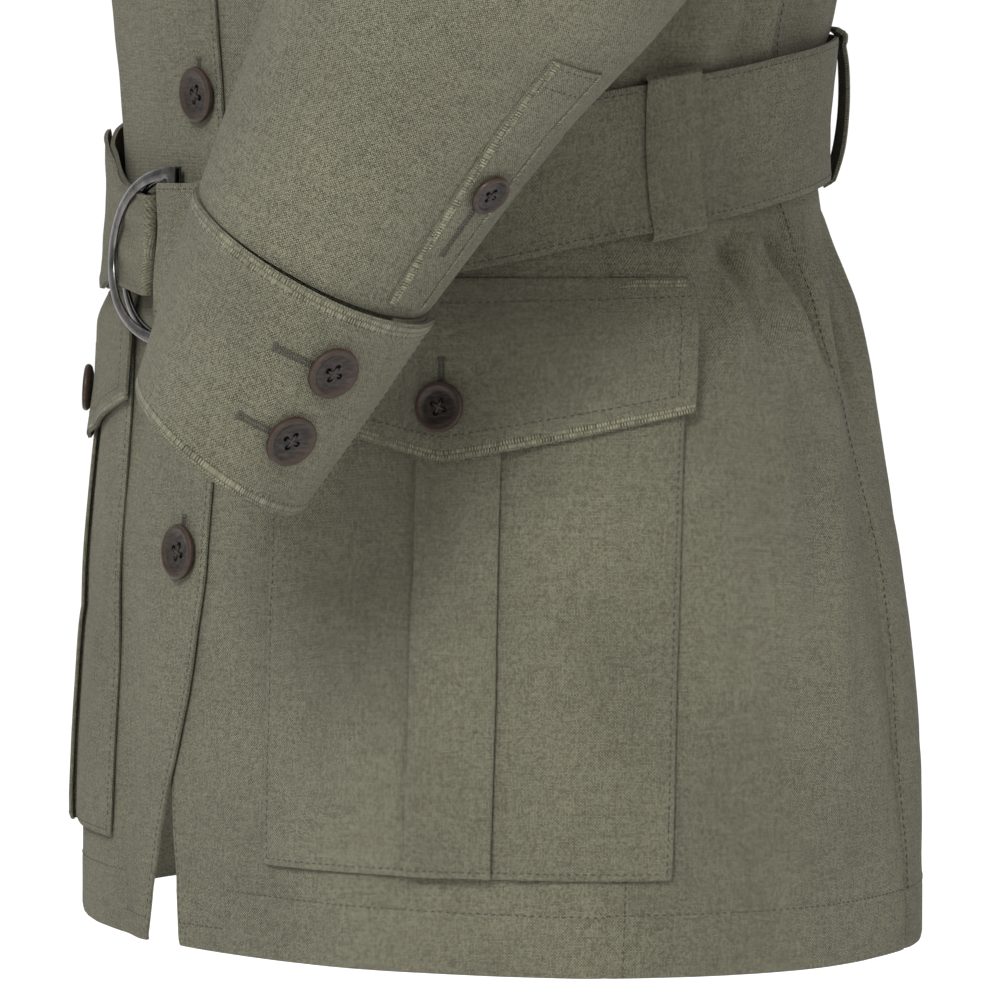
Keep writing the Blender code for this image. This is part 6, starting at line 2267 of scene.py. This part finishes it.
@dataclass
class Collar:
    """The collar: its stand round the neck, and the fall turned down over it to two points."""

    wall: float = 1.6 * MM
    stand_wall: float = 1.5 * MM
    middle_y: float = -0.075
    bowed: float = 1.2 * MM
    uneven: float = 0.5 * MM
    rolled: float = 0.45 * MM
    roll: tuple[tuple[float, float], ...] = (
        (-0.9 * MM, 1.5 * MM),
        (0.6 * MM, 4.8 * MM),
        (3.8 * MM, 6.2 * MM),
        (7.0 * MM, 4.2 * MM),
    )

    @functools.cached_property
    def posts(self) -> list[tuple[float, ...]]:
        """The neck's lines from the wearer's left of centre front, round the nape, to the right."""
        left = list(POSTS)
        right = [Post(*((-point[0], point[1], point[2]) for point in post)) for post in left[1:]]
        return [(index, *post.foot, *post.top, *post.edge) for index, post in enumerate([*reversed(left), *right])]

    def post(self, u: float) -> Post:
        """The neck's line at a share of the way round."""
        row = between(self.posts, u * (len(self.posts) - 1))
        return Post(Vector(row[1:4]), Vector(row[4:7]), Vector(row[7:10]))

    def outward(self, point: Vector) -> Vector:
        """The level way out from the neck's middle."""
        return Vector((point.x, point.y - self.middle_y, 0)).normalized()

    def stand(self, u: float, v: float, out: float) -> Vector:
        """The stand's surface, round the neck and up from its foot."""
        post = self.post(u)
        point = post.foot.lerp(post.top, v)
        return point + self.outward(point) * out

    def fall(self, u: float, v: float, out: float) -> Vector:
        """The collar's surface, round the neck and from its seam over the roll to its edge."""
        post = self.post(u)
        way = self.outward(post.top)
        column = [post.top + way * across + UP * up for across, up in self.roll]
        column += [column[-1].lerp(post.edge, share) for share in (0.35, 0.7, 1.0)]
        rows = [(index, *point) for index, point in enumerate(column)]
        at = v * (len(rows) - 1)
        point = Vector(between(rows, at)[1:])
        after, before = Vector(between(rows, at + 0.1)[1:]), Vector(between(rows, max(at - 0.1, 0))[1:])
        along = (after - before).normalized()
        facing = way.cross(UP).cross(along).normalized() * -1
        bow = self.bowed * math.sin(math.pi * ease(v)) + self.uneven * noise.noise(Vector((u * 14, v * 2.5, 2.0)))
        edge = min(u, 1 - u) * 0.55
        roll = self.rolled * (bell((1 - v) * 0.06, MM) + bell(edge, MM))
        return point + facing * (out + self.wall / 2 + bow - roll)

    def build(self) -> None:
        """Makes the stand and the collar with its stitched edge."""
        across = crowded(200, (0.001, 0.002, 0.004))
        stand = Sheet("collar_stand_cloth", self.stand, across, crowded(14, (0.02, 0.05)), self.stand_wall, 0.5)
        stand.stitched, stand.inset = "tb", 2 * MM
        MAKER.cloth([stand], LINEN, ["collar_stand"], Held.STRETCHED)
        fall = Sheet("collar_cloth", self.fall, across, crowded(36, (0.01, 0.02)), self.wall, 0.5)
        fall.stitched, fall.inset = "lrt", 5 * MM
        MAKER.cloth([fall], LINEN, ["collar"], Held.FOLDED)
        sewing = Stitching("collar_stitches")
        sewing.along(self.fall, (0.012, 0.91), (0.988, 0.91), 300)
        sewing.along(self.fall, (0.012, 0.91), (0.012, 0.12), 60)
        sewing.along(self.fall, (0.988, 0.91), (0.988, 0.12), 60)
        sewing.along(self.stand, (0.01, 0.06), (0.99, 0.06), 300)
        sewing.make()


@dataclass
class Studio:
    """A plain pale floor, soft lights and the camera at the photograph's place."""

    azimuth: float = 55.0
    distance: float = 2.19
    eye_z: float = -0.417
    pitch: float = 3.13
    lens: float = 208.8
    aside: float = 1.1 * MM
    axis: tuple[float, float] = (0.0, -0.092)
    floor_z: float = -1.05
    floor_half: float = 9.0
    sensor: float = 36.0
    clip_end: float = 60.0
    aim_z: float = -0.45

    def ways(self) -> tuple[Vector, Vector]:
        """The level ways from the jacket to the camera and to the camera's right."""
        turn = math.radians(self.azimuth)
        return Vector((math.sin(turn), -math.cos(turn), 0)), Vector((math.cos(turn), math.sin(turn), 0))

    def build_camera(self) -> None:
        """Makes the camera."""
        toward, right = self.ways()
        camera = bpy.data.cameras.new("camera")
        camera.lens = self.lens
        camera.sensor_width = self.sensor
        camera.clip_end = self.clip_end
        made = bpy.data.objects.new("camera", camera)
        bpy.context.scene.collection.objects.link(made)
        made.location = Vector((*self.axis, self.eye_z)) + toward * self.distance + right * self.aside
        look = -toward * math.cos(math.radians(self.pitch)) - UP * math.sin(math.radians(self.pitch))
        made.rotation_euler = look.to_track_quat("-Z", "Y").to_euler()
        bpy.context.scene.camera = made

    def light(self, name: str, place: tuple[float, float, float], size: float, power: float) -> None:
        """Makes a soft square light aimed at the jacket.

        Args:
            name: The light's name.
            place: Its distance to the camera's right, towards the camera, and its height.
            size: Its side.
            power: Its power in watts.
        """
        toward, right = self.ways()
        lamp = bpy.data.lights.new(name, "AREA")
        lamp.shape = "SQUARE"
        lamp.size = size
        lamp.energy = power
        made = bpy.data.objects.new(name, lamp)
        bpy.context.scene.collection.objects.link(made)
        aim = Vector((*self.axis, self.aim_z))
        made.location = Vector((*self.axis, 0)) + right * place[0] + toward * place[1] + UP * place[2]
        made.rotation_euler = (aim - made.location).to_track_quat("-Z", "Y").to_euler()

    def build(self) -> None:
        """Makes the floor, the lights, the pale surroundings and the camera."""
        shape = bmesh.new()
        bmesh.ops.create_grid(shape, x_segments=1, y_segments=1, size=self.floor_half)
        bmesh.ops.translate(shape, verts=shape.verts, vec=(0, 0, self.floor_z))
        data = bpy.data.meshes.new("floor")
        shape.to_mesh(data)
        shape.free()
        data.materials.append(FLOOR.material())
        floor = bpy.data.objects.new("floor", data)
        bpy.context.scene.collection.objects.link(floor)
        world = bpy.data.worlds.new("pale surroundings")
        world.use_nodes = True
        world.node_tree.nodes["Background"].inputs["Color"].default_value = (1.0, 1.0, 1.0, 1)
        graph = Graph(world.node_tree)
        toward, _ = self.ways()
        way = graph.add("ShaderNodeTexCoord").outputs["Generated"]
        behind = world.node_tree.nodes.new("ShaderNodeVectorMath")
        behind.operation = "DOT_PRODUCT"
        graph.feed(behind.inputs[0], way)
        graph.feed(behind.inputs[1], -toward)
        above = graph.add("ShaderNodeSeparateXYZ", Vector=way)
        overhead = graph.ramp(above.outputs["Z"], 0.2, 0.9, 0.55, 1.0)
        glow = graph.math("MAXIMUM", graph.ramp(behind.outputs["Value"], 0.55, 0.92, 0.55, 1.03), overhead)
        graph.feed(world.node_tree.nodes["Background"].inputs["Strength"], glow)
        bpy.context.scene.world = world
        bpy.context.scene.view_settings.view_transform = "Standard"
        self.light("key light", (-0.8, 2.5, 0.95), 0.8, 88.0)
        self.light("fill light", (1.9, 2.2, 0.3), 1.6, 12.0)
        self.light("back light", (1.2, -2.2, 1.4), 1.2, 8.0)
        self.build_camera()


def main() -> None:
    """Builds the jacket piece by piece over its solids."""
    logging.basicConfig(level=logging.INFO, format="%(name)s: %(message)s")
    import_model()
    for part in (Studio(), FRONTS, Sides(), Back(), Sleeves(), Pockets(), Belt(), Collar()):
        log.info("building %s", type(part).__name__)
        part.build()
    BUTTONS.build_front()
    log.info("%d pieces", len(MAKER.pieces))


if __name__ == "__main__":
    main()
